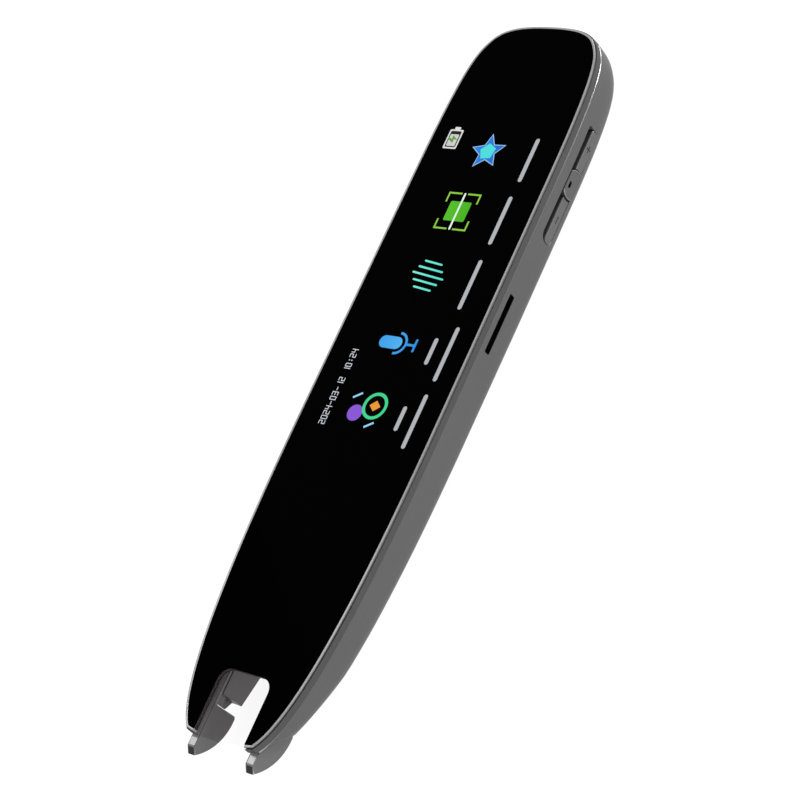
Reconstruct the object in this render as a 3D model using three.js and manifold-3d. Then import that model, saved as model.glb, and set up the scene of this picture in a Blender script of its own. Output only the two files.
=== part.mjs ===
// A handheld scanning pen, lying on its back with the screen up.
// +Y points to the top end with the inlet, -Y to the scanning tip, +X to the side with the keys.
// A place along the pen is its distance from the top end, and a depth is the distance back from the glass.
// All lengths are in millimetres.
import * as THREE from 'three';
import { mergeVertices } from 'three/addons/utils/BufferGeometryUtils.js';
import Module from 'manifold-3d';

const wasm = await Module();
wasm.setup();

// Driving dimensions.
const caseLength = 152.4;
const finReach = 3.6;
const halfWidth = 16.5;
const thickness = 13;
const topRun = 35;
const tipRun = 67;
const noseBow = 0.9;
const wall = 1.3;
const backWall = 1.9;
const islandWall = 1.2;

// Gaps between neighbours, and how far a cut runs past what it cuts.
const fit = 0.3;
const slimFit = 0.1;
const parting = 0.05;
const overrun = 4;

// The back of the case: a flat island, and a slope down to the tip.
const island = { halfWidth: 10.9, top: 8.5 };
const slope = { start: 26, drop: 3.9, run: 17.5 };
const sideWall = { straight: 4.1, tipDrop: 2.2, legRound: 3.8 };

// Glass, seal, and the frame with its tray for the display.
const glass = { thickness: 1, inset: 0.88, gap: 0.1 };
const seal = { thickness: 0.2, width: 1.1, inset: 0.22 };
const frame = { rim: 0.55, band: 1.7, ledge: 2.4, lip: 0.75, floor: 0.4, trayEnd: 28.4 };

// Display and its ribbon.
const display = { top: 21.2, length: 76.8, margin: 3.2, panel: 0.9, backlight: 0.7 };
const ribbon = { thickness: 0.2, halfWidth: 4, reach: 2, foot: 2.2 };

// Inlays of the back.
const inlay = {
  rim: 1.6, neckRim: 2.2, topRim: 3.2, endRim: 1.8, recess: 0.7,
  topRun: 9.3, neckEnd: 34, wideStart: 56, taperStart: 95,
};
const plate = { top: 35.2, thickness: 0.5, shoulder: 4, shoulderHalfWidth: 5.2 };
const trim = { line: 0.5, thickness: 0.6, hornReach: 2.6 };
const soundPlate = { thickness: 0.45 };
const slot = { pitch: 1.88, width: 1, centre: 22.3, longest: 9 };

// Speaker behind the sound panel.
const speaker = {
  halfWidth: 7, halfLength: 9, corner: 3, rim: 1.5, depth: 2, floor: 0.6, cone: 0.6, dome: 0.5,
  coilHole: 3.5, magnetHalf: 4.2, magnet: 1.4, gasket: 0.4,
};
const soundMesh = { thickness: 0.25, margin: 0.7, halfWidth: 6.7, halfLength: 5.7, corner: 1.5 };

// Boards and what stands on them.
const board = { thickness: 0.8, top: 2.2, end: 72, inset: 2, gap: 0.2 };
const processor = { centre: 38, margin: 0.9, halfWidth: 6, halfLength: 6, height: 1.2 };
const memory = { centre: 49, margin: 3.1, halfWidth: 4, halfLength: 4, height: 1 };
const can = { centre: 62, margin: 1, halfWidth: 4, halfLength: 7, height: 1.6, sheet: 0.3 };
const antenna = { centre: 62, margin: 0.3, halfWidth: 1, halfLength: 8, height: 0.4 };
const battery = { margin: 7.1, height: 6.2, pad: 0.3, bevel: 0.8, gap: 0.4 };
const tipBoard = { halfWidth: 6.5, thickness: 0.8, length: 7.4, gap: 0.4 };
const cameraFlex = { margin: 5.5, halfWidth: 1, start: 1.5, footWidth: 1.8 };

// Inlet and card socket.
const inlet = { halfWidth: 4.6, height: 3.26, length: 7.3, start: 0.3, sheet: 0.35 };
const tongue = { halfWidth: 3.35, height: 0.7, length: 5.2 };
const cardSlot = { top: 57.4, length: 12.3, height: 1.2 };
const cardSocket = { reach: 13.5, sheet: 0.3, margin: 0.1, height: 1.4 };

// Side keys, from the channel in the wall inwards to the board that carries their switches.
const channel = { top: 19.3, end: 44.5, near: 4.5, height: 3.5, corner: 1.75, seat: 1.6, margin: 0.6 };
const keyCap = { recess: 0.35, flange: 0.7, flangeMargin: 0.7, rest: 0.1, nub: 0.8, nubHalf: 0.8 };
const saddle = { centre: 31.35, radius: 2.95, recess: 0.05, flangeMargin: 0.45, hole: 0.45, holeLength: 1.3 };
const plunger = { half: 0.7, length: 1, show: 0.5 };
const sideSwitch = { half: 1.8, halfHeight: 1.3, depth: 1.3, pocket: 0.9 };
const keyBoard = { thickness: 0.8, margin: 0.7, height: 3.2, gap: 0.2 };
const microphone = { halfLength: 1.5, height: 2, depth: 1.1 };

// Tip: the opening in the back, and the fins with their arms and bridge.
const opening = { top: 16.8, halfWidth: 6.2, corner: 1.24 };
const hoodWall = { thickness: 0.7, start: 17.8, end: 8.5, near: 3.2, solid: 11.4 };
const fin = { thickness: 2, top: 6.3, near: 2.3, reach: 6.6, gap: 0.25 };
const arm = { thickness: 1, flange: 0.6, depth: 3.2 };
const bridge = { top: 27.1, width: 2, near: 3.4, height: 1.8 };
const tipSwitch = { halfWidth: 2, gap: 0.7, length: 2.7, near: 3.5, pocket: 1.4 };
const tipPlunger = { half: 0.7, length: 1.3 };

// Hood, camera and lamps. The camera looks through the dark window, down to the paper.
const hood = { gap: 0.3, end: 13.45, endDepth: 1.4, run: 3.45, height: 7.6, thickness: 1.2, cheek: 0.7 };
const cheek = { reach: 7.95, near: 3, far: 8.4 };
const cameraWindow = { halfWidth: 5, near: 1.8, far: 3.9, thickness: 0.7, step: 0.15 };
const cameraTilt = THREE.MathUtils.degToRad(28);
const lens = { radius: 1.7, start: 3.4, length: 2, rim: 0.5, recess: 0.5 };
const holder = { half: 2.2, length: 1.5, gap: 0.1 };
const cameraBoard = { halfHeight: 2.4, thickness: 0.8, gap: 0.3 };
const lightBoard = {
  gap: 0.4, reach: 4.75, thickness: 0.5, near: 1.6, far: 7.6, viewHalf: 2.1, viewFar: 6.8,
};
const lamp = { half: 0.6, height: 0.7, offset: 3.6, depth: 3 };

// Case screws, and the bosses and posts that take them.
const upperScrews = { gap: 1.6 };
const tipScrews = { margin: 1.7 };
const screw = {
  headRadius: 1.4, headHeight: 0.8, shaftRadius: 0.7, fit: 0.25, clear: 1.8, drive: 0.5, driveDepth: 0.4,
};
const boss = { radius: 2.4, reach: 2.2, sink: 1 };
const post = { radius: 1.9 };

// How finely the curves are stepped. These are counts.
const outlineSteps = 8;
const sectionSteps = 6;
const roundSides = 20;
const cornerSteps = 5;

// Shares of the half width, and of the run of each end, along the outline of the case.
const topCornerShares = [[0.351, 0], [0.636, 0.014], [0.771, 0.106], [0.907, 0.199], [1, 0.277], [1, 1]];
const tipSideShares = [[1, 0.18], [0.99, 0.4], [0.929, 0.576], [0.874, 0.735], [0.772, 0.929], [0.5, 1]];
const noseShares = [[0.34, 0.75], [0.17, 1], [0, 1]];
// The same runs of the crest, the line where the curved sides meet the flat of the back.
const crestTopShares = [[0.42, 0], [0.67, 0.03], [0.8, 0.105], [0.915, 0.18], [0.985, 0.36], [1, 1]];
const crestTipShares = [
  [1, 0.176], [0.963, 0.339], [0.853, 0.503], [0.761, 0.637], [0.688, 0.756], [0.606, 0.897],
];
const crestNoseShares = [[0.4, 0.9], [0.2, 0.905], [0, 0.905]];
// Shares of the half width and the run at each end of the inlay, and of the shoulder of its plate.
const inlayTopShares = [[0.48, 0], [0.76, 0.065], [0.885, 0.25], [0.965, 0.4], [1, 0.62], [1, 1]];
const inlayEndShares = [[1, 0.3], [0.957, 0.54], [0.86, 0.72], [0.753, 0.9], [0.624, 1], [0.398, 1]];
const shoulderShares = [[0.55, 0], [0.85, 0.3], [0.9, 1]];
// How long each sound slot is, as a share of the longest.
const slotShares = [0.62, 0.8, 0.92, 1, 0.92, 0.8, 0.62];
// The fin's outline, as shares of its length from the top and of its depth from the front.
const finShares = {
  toe: [0.93, 0], tip: [1, 0.05], belly: [[0.76, 0.7], [0.41, 1.02], [0.04, 1]], shoulder: [-0.02, 0.78],
};

// Derived places along the pen.
const length = caseLength + finReach;
const middle = length / 2;
const displayEnd = display.top + display.length;
const tipStart = caseLength - tipRun;
const slopeStart = caseLength - slope.start;
const trayEnd = caseLength - frame.trayEnd;
const openingTop = caseLength - opening.top;
const hoodWallEnd = caseLength - hoodWall.end;
const hollowEnd = caseLength - hoodWall.solid;
const finTop = caseLength - fin.top;
const bridgeTop = caseLength - bridge.top;
const hoodEnd = caseLength - hood.end;
const tipBoardEnd = bridgeTop - tipBoard.gap;
const tipBoardTop = tipBoardEnd - tipBoard.length;
const upperScrewRow = board.end + boss.radius + slimFit;
const tipScrewRow = tipBoardTop + boss.radius;
const batteryTop = upperScrewRow + boss.radius + battery.gap;
const batteryEnd = tipBoardTop - battery.gap;
const tipSwitchEnd = bridgeTop - tipSwitch.gap;

// Derived depths.
const seatDepth = glass.thickness + seal.thickness;
const lipDepth = seatDepth + frame.lip;
const displayBack = glass.thickness + display.panel + display.backlight;
const trayBack = displayBack + slimFit + frame.floor;
const boardFront = trayBack + cardSocket.height + board.gap;
const boardBack = boardFront + board.thickness;
const cardSlotNear = boardFront - cardSocket.height;
const recessDepth = thickness - inlay.recess;
const innerBack = thickness - backWall;
const speakerBack = innerBack - speaker.gasket;
const screwSeat = recessDepth - boss.sink;
const screwEnd = trayBack + screw.clear;
const postEnd = innerBack - boss.reach - fit;
const armFar = fin.near + arm.depth;
const bridgeFar = bridge.near + bridge.height;
const tipBoardFront = bridgeFar + fit;
const channelFar = channel.near + channel.height;
const keyDepth = channel.near + channel.height / 2;

// Derived distances from the middle of the pen to the side.
const inlayHalfWidth = island.halfWidth - inlay.rim;
const inlayNeckHalfWidth = island.halfWidth - inlay.neckRim;
const displayHalfWidth = halfWidth - display.margin;
const batteryHalfWidth = halfWidth - battery.margin;
const cameraFlexSide = halfWidth - cameraFlex.margin;
const upperScrewOffset = cameraFlexSide - cameraFlex.halfWidth - post.radius - upperScrews.gap;
const tipScrewOffset = tipBoard.halfWidth - tipScrews.margin;
const cardMouth = halfWidth - wall - fit;
const channelSeat = halfWidth - channel.seat;
const keyFace = halfWidth - keyCap.recess;
const keyFlangeOuter = channelSeat - keyCap.rest;
const keyFlangeInner = keyFlangeOuter - keyCap.flange;
const nubEnd = keyFlangeInner - keyCap.nub;
const switchMouth = nubEnd - plunger.show;
const keyBoardFace = switchMouth - sideSwitch.depth;
const boardHalfWidth = keyBoardFace - keyBoard.thickness - keyBoard.gap;
const finOuter = opening.halfWidth + fin.thickness;
const hoodHalfWidth = opening.halfWidth - hood.gap;
const hoodLean = hood.run / hood.height;

// The two keys fill the channel on both sides of the saddle.
const upperKey = { top: channel.top, end: saddle.centre - saddle.radius, side: 1 };
const lowerKey = { top: saddle.centre + saddle.radius, end: channel.end, side: -1 };

const finishes = {
  casing: finish(0x6b6b6c, 0.42, 0.75),
  glass: finish(0x040405, 0.06, 0),
  seal: finish(0x1a1a1a, 0.8, 0),
  display: finish(0x101214, 0.3, 0),
  backlight: finish(0xb9bcc0, 0.35, 0.9),
  ribbon: finish(0xb0702a, 0.5, 0.1),
  brushed: finish(0x757575, 0.38, 0.85),
  panel: finish(0x050505, 0.12, 0),
  bright: finish(0xf2f2f2, 0.12, 1),
  mesh: finish(0x8d8d8d, 0.5, 0.6),
  black: finish(0x161616, 0.55, 0),
  board: finish(0x16402a, 0.5, 0.05),
  chip: finish(0x1c1d1f, 0.45, 0),
  can: finish(0xc4c6c8, 0.3, 0.9),
  cell: finish(0x9fa6ad, 0.4, 0.5),
  foam: finish(0x2a2a2a, 0.95, 0),
  cone: finish(0x303030, 0.7, 0),
  magnet: finish(0x8f9296, 0.35, 0.9),
  lens: finish(0x0b0d12, 0.15, 0),
  lamp: finish(0xf4f1dc, 0.3, 0),
  screw: finish(0x9a9ca0, 0.35, 0.9),
};

function finish(color, roughness, metalness) {
  return new THREE.MeshStandardMaterial({ color, roughness, metalness });
}

// Shape helpers.

function weld(geometry) {
  const bare = geometry.index ? geometry.toNonIndexed() : geometry;
  bare.deleteAttribute('normal');
  bare.deleteAttribute('uv');
  return mergeVertices(bare);
}

function solid(geometry) {
  const welded = weld(geometry);
  const vertProperties = new Float32Array(welded.attributes.position.array);
  const triVerts = new Uint32Array(welded.index.array);
  return new wasm.Manifold(new wasm.Mesh({ numProp: 3, vertProperties, triVerts }));
}

function join(first, ...others) {
  return others.reduce((sum, other) => sum.add(other), first);
}

function cut(first, ...others) {
  return others.reduce((rest, other) => rest.subtract(other), first);
}

function geometryOf(body) {
  const { vertProperties, triVerts, numProp } = body.getMesh();
  const geometry = new THREE.BufferGeometry();
  geometry.setAttribute('position', new THREE.BufferAttribute(new Float32Array(vertProperties), numProp));
  geometry.setIndex(new THREE.BufferAttribute(new Uint32Array(triVerts), 1));
  geometry.computeVertexNormals();
  return geometry;
}

// A box between two sides, two places along the pen and two depths.
function block(x0, x1, s0, s1, d0, d1) {
  const geometry = new THREE.BoxGeometry(x1 - x0, s1 - s0, d1 - d0);
  geometry.translate((x0 + x1) / 2, middle - (s0 + s1) / 2, thickness - (d0 + d1) / 2);
  return solid(geometry);
}

// A box as wide on both sides of the middle.
function wide(half, s0, s1, d0, d1) {
  return block(-half, half, s0, s1, d0, d1);
}

function extruded(shape, depth) {
  return new THREE.ExtrudeGeometry(shape, { depth, bevelEnabled: false, curveSegments: cornerSteps });
}

// Turns a flat outline's own x and y to two directions, and its depth to the one square to both.
function turned(geometry, x, y, place) {
  const turn = new THREE.Matrix4().makeBasis(x, y, x.clone().cross(y));
  geometry.applyMatrix4(turn.setPosition(...place));
  return solid(geometry);
}

// An outline of places along the pen and depths, carried sideways from x0 to x1.
function sideways(shape, x0, x1) {
  const x = new THREE.Vector3(0, -1, 0);
  const y = new THREE.Vector3(0, 0, -1);
  return turned(extruded(shape, x1 - x0), x, y, [x0, middle, thickness]);
}

// An outline of sides and places along the pen, carried from depth d0 to d1.
function through(shape, d0, d1) {
  const x = new THREE.Vector3(1, 0, 0);
  const y = new THREE.Vector3(0, -1, 0);
  return turned(extruded(shape, d1 - d0), x, y, [0, middle, thickness - d0]);
}

// An outline of sides and depths, carried along the pen from s0 to s1.
function lengthways(shape, s0, s1) {
  const x = new THREE.Vector3(1, 0, 0);
  const y = new THREE.Vector3(0, 0, -1);
  return turned(extruded(shape, s1 - s0), x, y, [0, middle - s1, thickness]);
}

function polygon(points) {
  return new THREE.Shape(points.map(([a, b]) => new THREE.Vector2(a, b)));
}

function roundedRect(a0, a1, b0, b1, radius) {
  const r = Math.min(radius, (a1 - a0) / 2, (b1 - b0) / 2);
  const shape = new THREE.Shape();
  shape.absarc(a1 - r, b0 + r, r, -Math.PI / 2, 0);
  shape.absarc(a1 - r, b1 - r, r, 0, Math.PI / 2);
  shape.absarc(a0 + r, b1 - r, r, Math.PI / 2, Math.PI);
  shape.absarc(a0 + r, b0 + r, r, Math.PI, Math.PI * 3 / 2);
  return shape;
}

// A round bar that stands square to the glass.
function stud(x, s, radius, d0, d1) {
  const geometry = new THREE.CylinderGeometry(radius, radius, d1 - d0, roundSides);
  geometry.rotateX(Math.PI / 2);
  geometry.translate(x, middle - s, thickness - (d0 + d1) / 2);
  return solid(geometry);
}

// The right half of a line round the pen, through curves whose points are given as shares.
function halfLine(start, curves) {
  const path = new THREE.Path();
  path.moveTo(start[0], start[1]);
  for (const curve of curves) {
    if (curve.length === 1) path.lineTo(...curve[0]);
    else path.bezierCurveTo(...curve[0], ...curve[1], ...curve[2]);
  }
  return path.getPoints(outlineSteps);
}

// Turns a list of shares into curves of three points each.
function curvesOf(shares, xScale, sStart, sScale) {
  const points = shares.map(([x, s]) => [x * xScale, sStart + s * sScale]);
  const curves = [];
  for (let i = 0; i < points.length; i += 3) curves.push(points.slice(i, i + 3));
  return curves;
}

// The line moved inwards by an amount, square to itself.
function insetLine(line, amount) {
  return line.map((point, i) => {
    const before = i > 0 ? normalOf(line[i - 1], point) : null;
    const after = i < line.length - 1 ? normalOf(point, line[i + 1]) : null;
    let normal = new THREE.Vector2(0, i === 0 ? 1 : -1);
    if (before && after) normal = before.clone().add(after).divideScalar(1 + before.dot(after));
    return point.clone().addScaledVector(normal, amount);
  });
}

function normalOf(from, to) {
  const along = to.clone().sub(from).normalize();
  return new THREE.Vector2(-along.y, along.x);
}

// A closed body through a stack of lines round the pen, from the front one to the back one.
// Each line is the right half, and the left half mirrors it.
function stacked(rings) {
  const last = rings[0].length - 1;
  const count = 2 * last;
  const positions = [];
  const index = [];
  for (const ring of rings) {
    for (let i = 0; i < count; i += 1) {
      const mirrored = i > last;
      const [x, s, d] = ring[mirrored ? count - i : i];
      positions.push(mirrored ? -x : x, middle - s, thickness - d);
    }
  }
  for (let k = 0; k < rings.length - 1; k += 1) {
    for (let i = 0; i < count; i += 1) {
      const a = k * count + i;
      const b = k * count + (i + 1) % count;
      index.push(a, b, b + count, a, b + count, a + count);
    }
  }
  const back = (rings.length - 1) * count;
  for (let i = 0; i < last; i += 1) {
    const left = (count - i) % count;
    const right = i + 1;
    const nextLeft = count - i - 1;
    if (i > 0) index.push(i, left, nextLeft, back + i, back + nextLeft, back + left);
    if (i < last - 1) index.push(i, nextLeft, right, back + i, back + right, back + nextLeft);
  }
  const geometry = new THREE.BufferGeometry();
  geometry.setAttribute('position', new THREE.Float32BufferAttribute(positions, 3));
  geometry.setIndex(index);
  return solid(geometry);
}

// A flat slab with the outline of a half line and its mirror.
function slab(line, d0, d1) {
  return stacked([atDepth(line, d0), atDepth(line, d1)]);
}

function atDepth(line, depth) {
  return line.map((point) => [point.x, point.y, depth]);
}

function piece(name, body, material) {
  const mesh = new THREE.Mesh(geometryOf(body), material);
  mesh.name = name;
  return mesh;
}

// The lines that the case is made from.

const caseLine = halfLine([0, 0], [
  ...curvesOf(topCornerShares, halfWidth, 0, topRun),
  [[halfWidth, tipStart]],
  ...curvesOf(tipSideShares, halfWidth, tipStart, tipRun),
  ...curvesOf(noseShares, halfWidth, caseLength, noseBow),
]);

const crestLine = halfLine([0, island.top], [
  ...curvesOf(crestTopShares, island.halfWidth, island.top, topRun - island.top),
  [[island.halfWidth, tipStart]],
  ...curvesOf(crestTipShares, island.halfWidth, tipStart, tipRun),
  ...curvesOf(crestNoseShares, island.halfWidth, tipStart, tipRun),
]);

function slopeAt(s) {
  return Math.max(0, s - slopeStart) / slope.run;
}

function backDepth(s) {
  return thickness - slope.drop * slopeAt(s);
}

function innerBackDepth(s) {
  const thinned = Math.min(1, slopeAt(s)) * (backWall - wall);
  return backDepth(s) - backWall + thinned;
}

function straightDepth(s) {
  return sideWall.straight - sideWall.tipDrop * Math.max(0, s - slopeStart) / slope.start;
}

// The legs of the tip are cut off almost straight, and the rest of the side is a quarter round.
function flatness(s) {
  return THREE.MathUtils.clamp((s - caseLength + sideWall.legRound) / sideWall.legRound, 0, 1);
}

function caseBody(side, crest, front, depthAt) {
  const rings = [atDepth(side, front)];
  for (let step = 0; step <= sectionSteps; step += 1) {
    const share = step / sectionSteps;
    const turn = share * Math.PI / 2;
    rings.push(side.map((edge, i) => {
      const flat = flatness(edge.y);
      const over = (1 - flat) * (1 - Math.cos(turn)) + flat * share;
      const rise = (1 - flat) * Math.sin(turn) + flat * share;
      const low = straightDepth(edge.y);
      const high = depthAt(crest[i].y);
      return [
        THREE.MathUtils.lerp(edge.x, crest[i].x, over),
        THREE.MathUtils.lerp(edge.y, crest[i].y, over),
        THREE.MathUtils.lerp(low, high, rise),
      ];
    }));
  }
  return stacked(rings);
}

// Inlay lines of the back.

const inlayTop = island.top + inlay.topRim;
const inlayEnd = slopeStart - inlay.endRim;

const inlayLine = halfLine([0, inlayTop], [
  ...curvesOf(inlayTopShares, inlayNeckHalfWidth, inlayTop, inlay.topRun),
  [[inlayNeckHalfWidth, inlay.neckEnd]],
  [[inlayHalfWidth, inlay.wideStart]],
  [[inlayHalfWidth, inlay.taperStart]],
  ...curvesOf(inlayEndShares, inlayHalfWidth, inlay.taperStart, inlayEnd - inlay.taperStart),
  [[0, inlayEnd]],
]);

// The top edge of the plate: level in the middle, with a rounded shoulder on each side.
const shoulderLine = halfLine([0, plate.top], [
  [[plate.shoulderHalfWidth, plate.top]],
  ...curvesOf(shoulderShares, inlayHalfWidth - plate.shoulderHalfWidth, plate.top, plate.shoulder)
    .map((curve) => curve.map(([x, s]) => [x + plate.shoulderHalfWidth, s])),
  [[halfWidth, plate.top + plate.shoulder]],
  [[halfWidth, length]],
  [[0, length]],
]);

function belowShoulder(shift) {
  return slab(insetLine(shoulderLine, -shift), recessDepth - overrun, thickness + overrun);
}

function inlaySlab(inset, height) {
  return slab(insetLine(inlayLine, inset), recessDepth, recessDepth + height);
}

// Glass, seal and front frame.

function frontGlass() {
  return slab(insetLine(caseLine, glass.inset), 0, glass.thickness);
}

function glassSeal() {
  const outer = glass.inset + seal.inset;
  const near = glass.thickness;
  const ring = cut(
    slab(insetLine(caseLine, outer), near, near + seal.thickness),
    slab(insetLine(caseLine, outer + seal.width), near - overrun, near + overrun),
  );
  return cut(ring, wide(finOuter + fit, hoodWallEnd, length + overrun, 0, thickness));
}

function frontFrame() {
  const lipInset = wall + slimFit;
  const rim = cut(
    join(
      stacked([atDepth(insetLine(caseLine, frame.rim), 0), atDepth(caseLine, frame.band)]),
      slab(insetLine(caseLine, lipInset), seatDepth, lipDepth),
    ),
    slab(insetLine(caseLine, glass.inset - glass.gap), -overrun, seatDepth),
    slab(insetLine(caseLine, frame.ledge), 0, overrun),
  );
  const tray = cut(
    slab(insetLine(caseLine, lipInset), seatDepth, trayBack)
      .intersect(wide(halfWidth, 0, trayEnd, 0, thickness)),
    wide(displayHalfWidth + fit, display.top - fit, displayEnd + fit, 0, displayBack + slimFit),
    wide(ribbon.halfWidth + fit, display.top - ribbon.reach - fit, display.top, 0, overrun),
  );
  const body = cut(
    join(rim, tray),
    wide(opening.halfWidth + slimFit, hoodWallEnd, length + overrun, -overrun, thickness),
    wide(halfWidth, hollowEnd - fit, length, frame.band, overrun),
  );
  return screwSpots().reduce((sum, [x, s]) => join(sum, screwPost(x, s)), body);
}

function screwSpots() {
  return [
    [-upperScrewOffset, upperScrewRow], [upperScrewOffset, upperScrewRow],
    [-tipScrewOffset, tipScrewRow], [tipScrewOffset, tipScrewRow],
  ];
}

function screwPost(x, s) {
  return cut(
    stud(x, s, post.radius, trayBack - slimFit, postEnd),
    stud(x, s, screw.shaftRadius + screw.fit, screwEnd - fit, postEnd + overrun),
  );
}

// Rear shell.

function rearShell() {
  const outer = caseBody(caseLine, crestLine, frame.band + parting, backDepth);
  const innerSide = insetLine(caseLine, wall);
  const innerCrest = insetLine(crestLine, islandWall);
  const hollow = caseBody(innerSide, innerCrest, -overrun, innerBackDepth)
    .intersect(wide(halfWidth, 0, hollowEnd, -overrun, thickness));
  const hoodWalls = join(hoodSide(1), hoodSide(-1)).intersect(outer);
  const spots = screwSpots();
  const bosses = spots.map(([x, s]) => stud(x, s, boss.radius, innerBack - boss.reach, innerBack + slimFit));
  const body = join(cut(outer, hollow), hoodWalls, ...bosses);
  return cut(
    body,
    ...tipOpenings(),
    ...keyOpenings(),
    ...soundOpenings(),
    ...spots.flatMap(([x, s]) => screwHoles(x, s)),
    inletSpace(fit, -overrun, inlet.start + inlet.length + fit),
    cardOpening(),
    slab(inlayLine, recessDepth, thickness + overrun),
  );
}

function hoodSide(side) {
  const inner = opening.halfWidth;
  const outer = inner + hoodWall.thickness;
  const top = caseLength - hoodWall.start;
  return block(...ordered(side * inner, side * outer), top, hoodWallEnd, hoodWall.near, thickness);
}

// The opening under the glass, the space for the fins, and the runs that the arms slide in.
function tipOpenings() {
  const finSide = finOuter + fin.gap;
  const runInner = opening.halfWidth + hoodWall.thickness;
  const runTop = hollowEnd - fit;
  return [
    through(roundedRect(-opening.halfWidth, opening.halfWidth, openingTop, length + overrun, opening.corner),
      0, thickness + overrun),
    wide(finSide, hoodWallEnd, length + overrun, 0, thickness + overrun),
    wide(finSide, runTop, length, 0, hoodWall.near),
    block(runInner, finSide, runTop, length, 0, armFar + fit),
    block(-finSide, -runInner, runTop, length, 0, armFar + fit),
  ];
}

function keyOpenings() {
  return [
    sideways(roundedRect(channel.top, channel.end, channel.near, channelFar, channel.corner),
      keyBoardFace, halfWidth + overrun),
    block(keyBoardFace, channelSeat, channel.top - channel.margin, channel.end + channel.margin,
      channel.near - channel.margin, channelFar + channel.margin),
  ];
}

function soundOpenings() {
  const end = thickness + overrun;
  return [
    soundRect(soundMesh, slimFit, recessDepth - soundMesh.thickness - slimFit / 2, end),
    soundRect(soundMesh, -soundMesh.margin, innerBack - overrun, end),
  ];
}

// A rounded rectangle centred behind the sound slots, with the size of a piece grown all round.
function soundRect({ halfWidth: halfX, halfLength, corner }, grow, d0, d1) {
  const { centre } = slot;
  const x = halfX + grow;
  const half = halfLength + grow;
  return through(roundedRect(-x, x, centre - half, centre + half, corner), d0, d1);
}

function screwHoles(x, s) {
  return [
    stud(x, s, screw.shaftRadius + screw.fit, innerBack - overrun, thickness),
    stud(x, s, screw.headRadius + screw.fit, screwSeat, thickness + overrun),
  ];
}

// Inlays of the back.

function backPlate() {
  return inlaySlab(slimFit, plate.thickness).intersect(belowShoulder(0));
}

function soundTrim() {
  const band = cut(inlaySlab(slimFit, trim.thickness), belowShoulder(slimFit));
  const inside = cut(inlaySlab(slimFit + trim.line, trim.thickness), belowShoulder(slimFit + trim.line));
  return cut(band, inside, wide(halfWidth, plate.top + trim.hornReach, length, 0, thickness));
}

function soundPanel() {
  const edge = slimFit + trim.line + parting;
  const sheet = cut(inlaySlab(edge, soundPlate.thickness), belowShoulder(edge));
  return cut(sheet, ...slotShares.map((share, i) => soundSlot(i, share)));
}

function soundSlot(i, share) {
  const x = (i - (slotShares.length - 1) / 2) * slot.pitch;
  const halfX = slot.width / 2;
  const halfS = slot.longest * share / 2;
  const shape = roundedRect(x - halfX, x + halfX, slot.centre - halfS, slot.centre + halfS, halfX);
  return through(shape, recessDepth - overrun, thickness);
}

// Speaker.

function speakerMesh() {
  return soundRect(soundMesh, 0, recessDepth - soundMesh.thickness - slimFit / 2, recessDepth - slimFit);
}

function speakerRect(inset, d0, d1) {
  return soundRect(speaker, -inset, d0, d1);
}

function speakerGasket() {
  return cut(
    speakerRect(0, speakerBack, innerBack),
    speakerRect(speaker.rim, speakerBack - overrun, innerBack + overrun),
  );
}

function speakerFrame() {
  const floor = speakerBack - speaker.depth;
  return cut(
    speakerRect(0, floor, speakerBack),
    speakerRect(speaker.rim, floor + speaker.floor, speakerBack + overrun),
    stud(0, slot.centre, speaker.coilHole, floor - overrun, thickness),
  );
}

function speakerCone() {
  const seat = speakerBack - speaker.depth + speaker.floor;
  return join(
    speakerRect(speaker.rim + fit, seat, seat + speaker.cone),
    stud(0, slot.centre, speaker.coilHole, seat + speaker.cone / 2, seat + speaker.cone + speaker.dome),
  );
}

function speakerMagnet() {
  const near = speakerBack - speaker.depth;
  const square = { halfWidth: speaker.magnetHalf, halfLength: speaker.magnetHalf, corner: speaker.rim };
  return soundRect(square, 0, near - speaker.magnet, near);
}

// Display.

function displayPanel() {
  const near = glass.thickness;
  return wide(displayHalfWidth, display.top, displayEnd, near, near + display.panel);
}

function displayBacklight() {
  const near = glass.thickness + display.panel;
  return wide(displayHalfWidth, display.top, displayEnd, near, near + display.backlight);
}

// The ribbon leaves the end of the display, turns down through the tray and lies on the main board.
function displayRibbon() {
  const bend = display.top - ribbon.reach;
  const near = glass.thickness + display.panel;
  const t = ribbon.thickness;
  return join(
    wide(ribbon.halfWidth, bend, display.top, near, near + t),
    wide(ribbon.halfWidth, bend, bend + t, near, boardFront),
    wide(ribbon.halfWidth, bend - ribbon.foot, bend + t, boardFront - t, boardFront),
  );
}

// Boards and what stands on them.

function mainBoard() {
  return slab(insetLine(caseLine, board.inset), boardFront, boardBack)
    .intersect(wide(boardHalfWidth, board.top, board.end, 0, thickness));
}

// A part that stands on the back of the main board, a margin away from the board's edge.
// Side -1 is the edge away from the keys, and a part with a sheet is cut that much smaller all round.
function onBoard({ centre, margin, halfWidth: halfX, halfLength, height }, side, sheet = 0) {
  const x = side * (boardHalfWidth - margin - halfX);
  const near = sheet > 0 ? boardBack - overrun : boardBack;
  return block(x - halfX + sheet, x + halfX - sheet, centre - halfLength + sheet, centre + halfLength - sheet,
    near, boardBack + height - sheet);
}

function shieldCan() {
  return cut(onBoard(can, 1), onBoard(can, 1, can.sheet));
}

function batteryCell() {
  const near = trayBack + battery.pad;
  const shape = roundedRect(-batteryHalfWidth, batteryHalfWidth, near, near + battery.height, battery.bevel);
  return lengthways(shape, batteryTop, batteryEnd);
}

function batteryPad() {
  const { bevel, pad } = battery;
  return wide(batteryHalfWidth - bevel, batteryTop + bevel, batteryEnd - bevel, trayBack, trayBack + pad);
}

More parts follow.
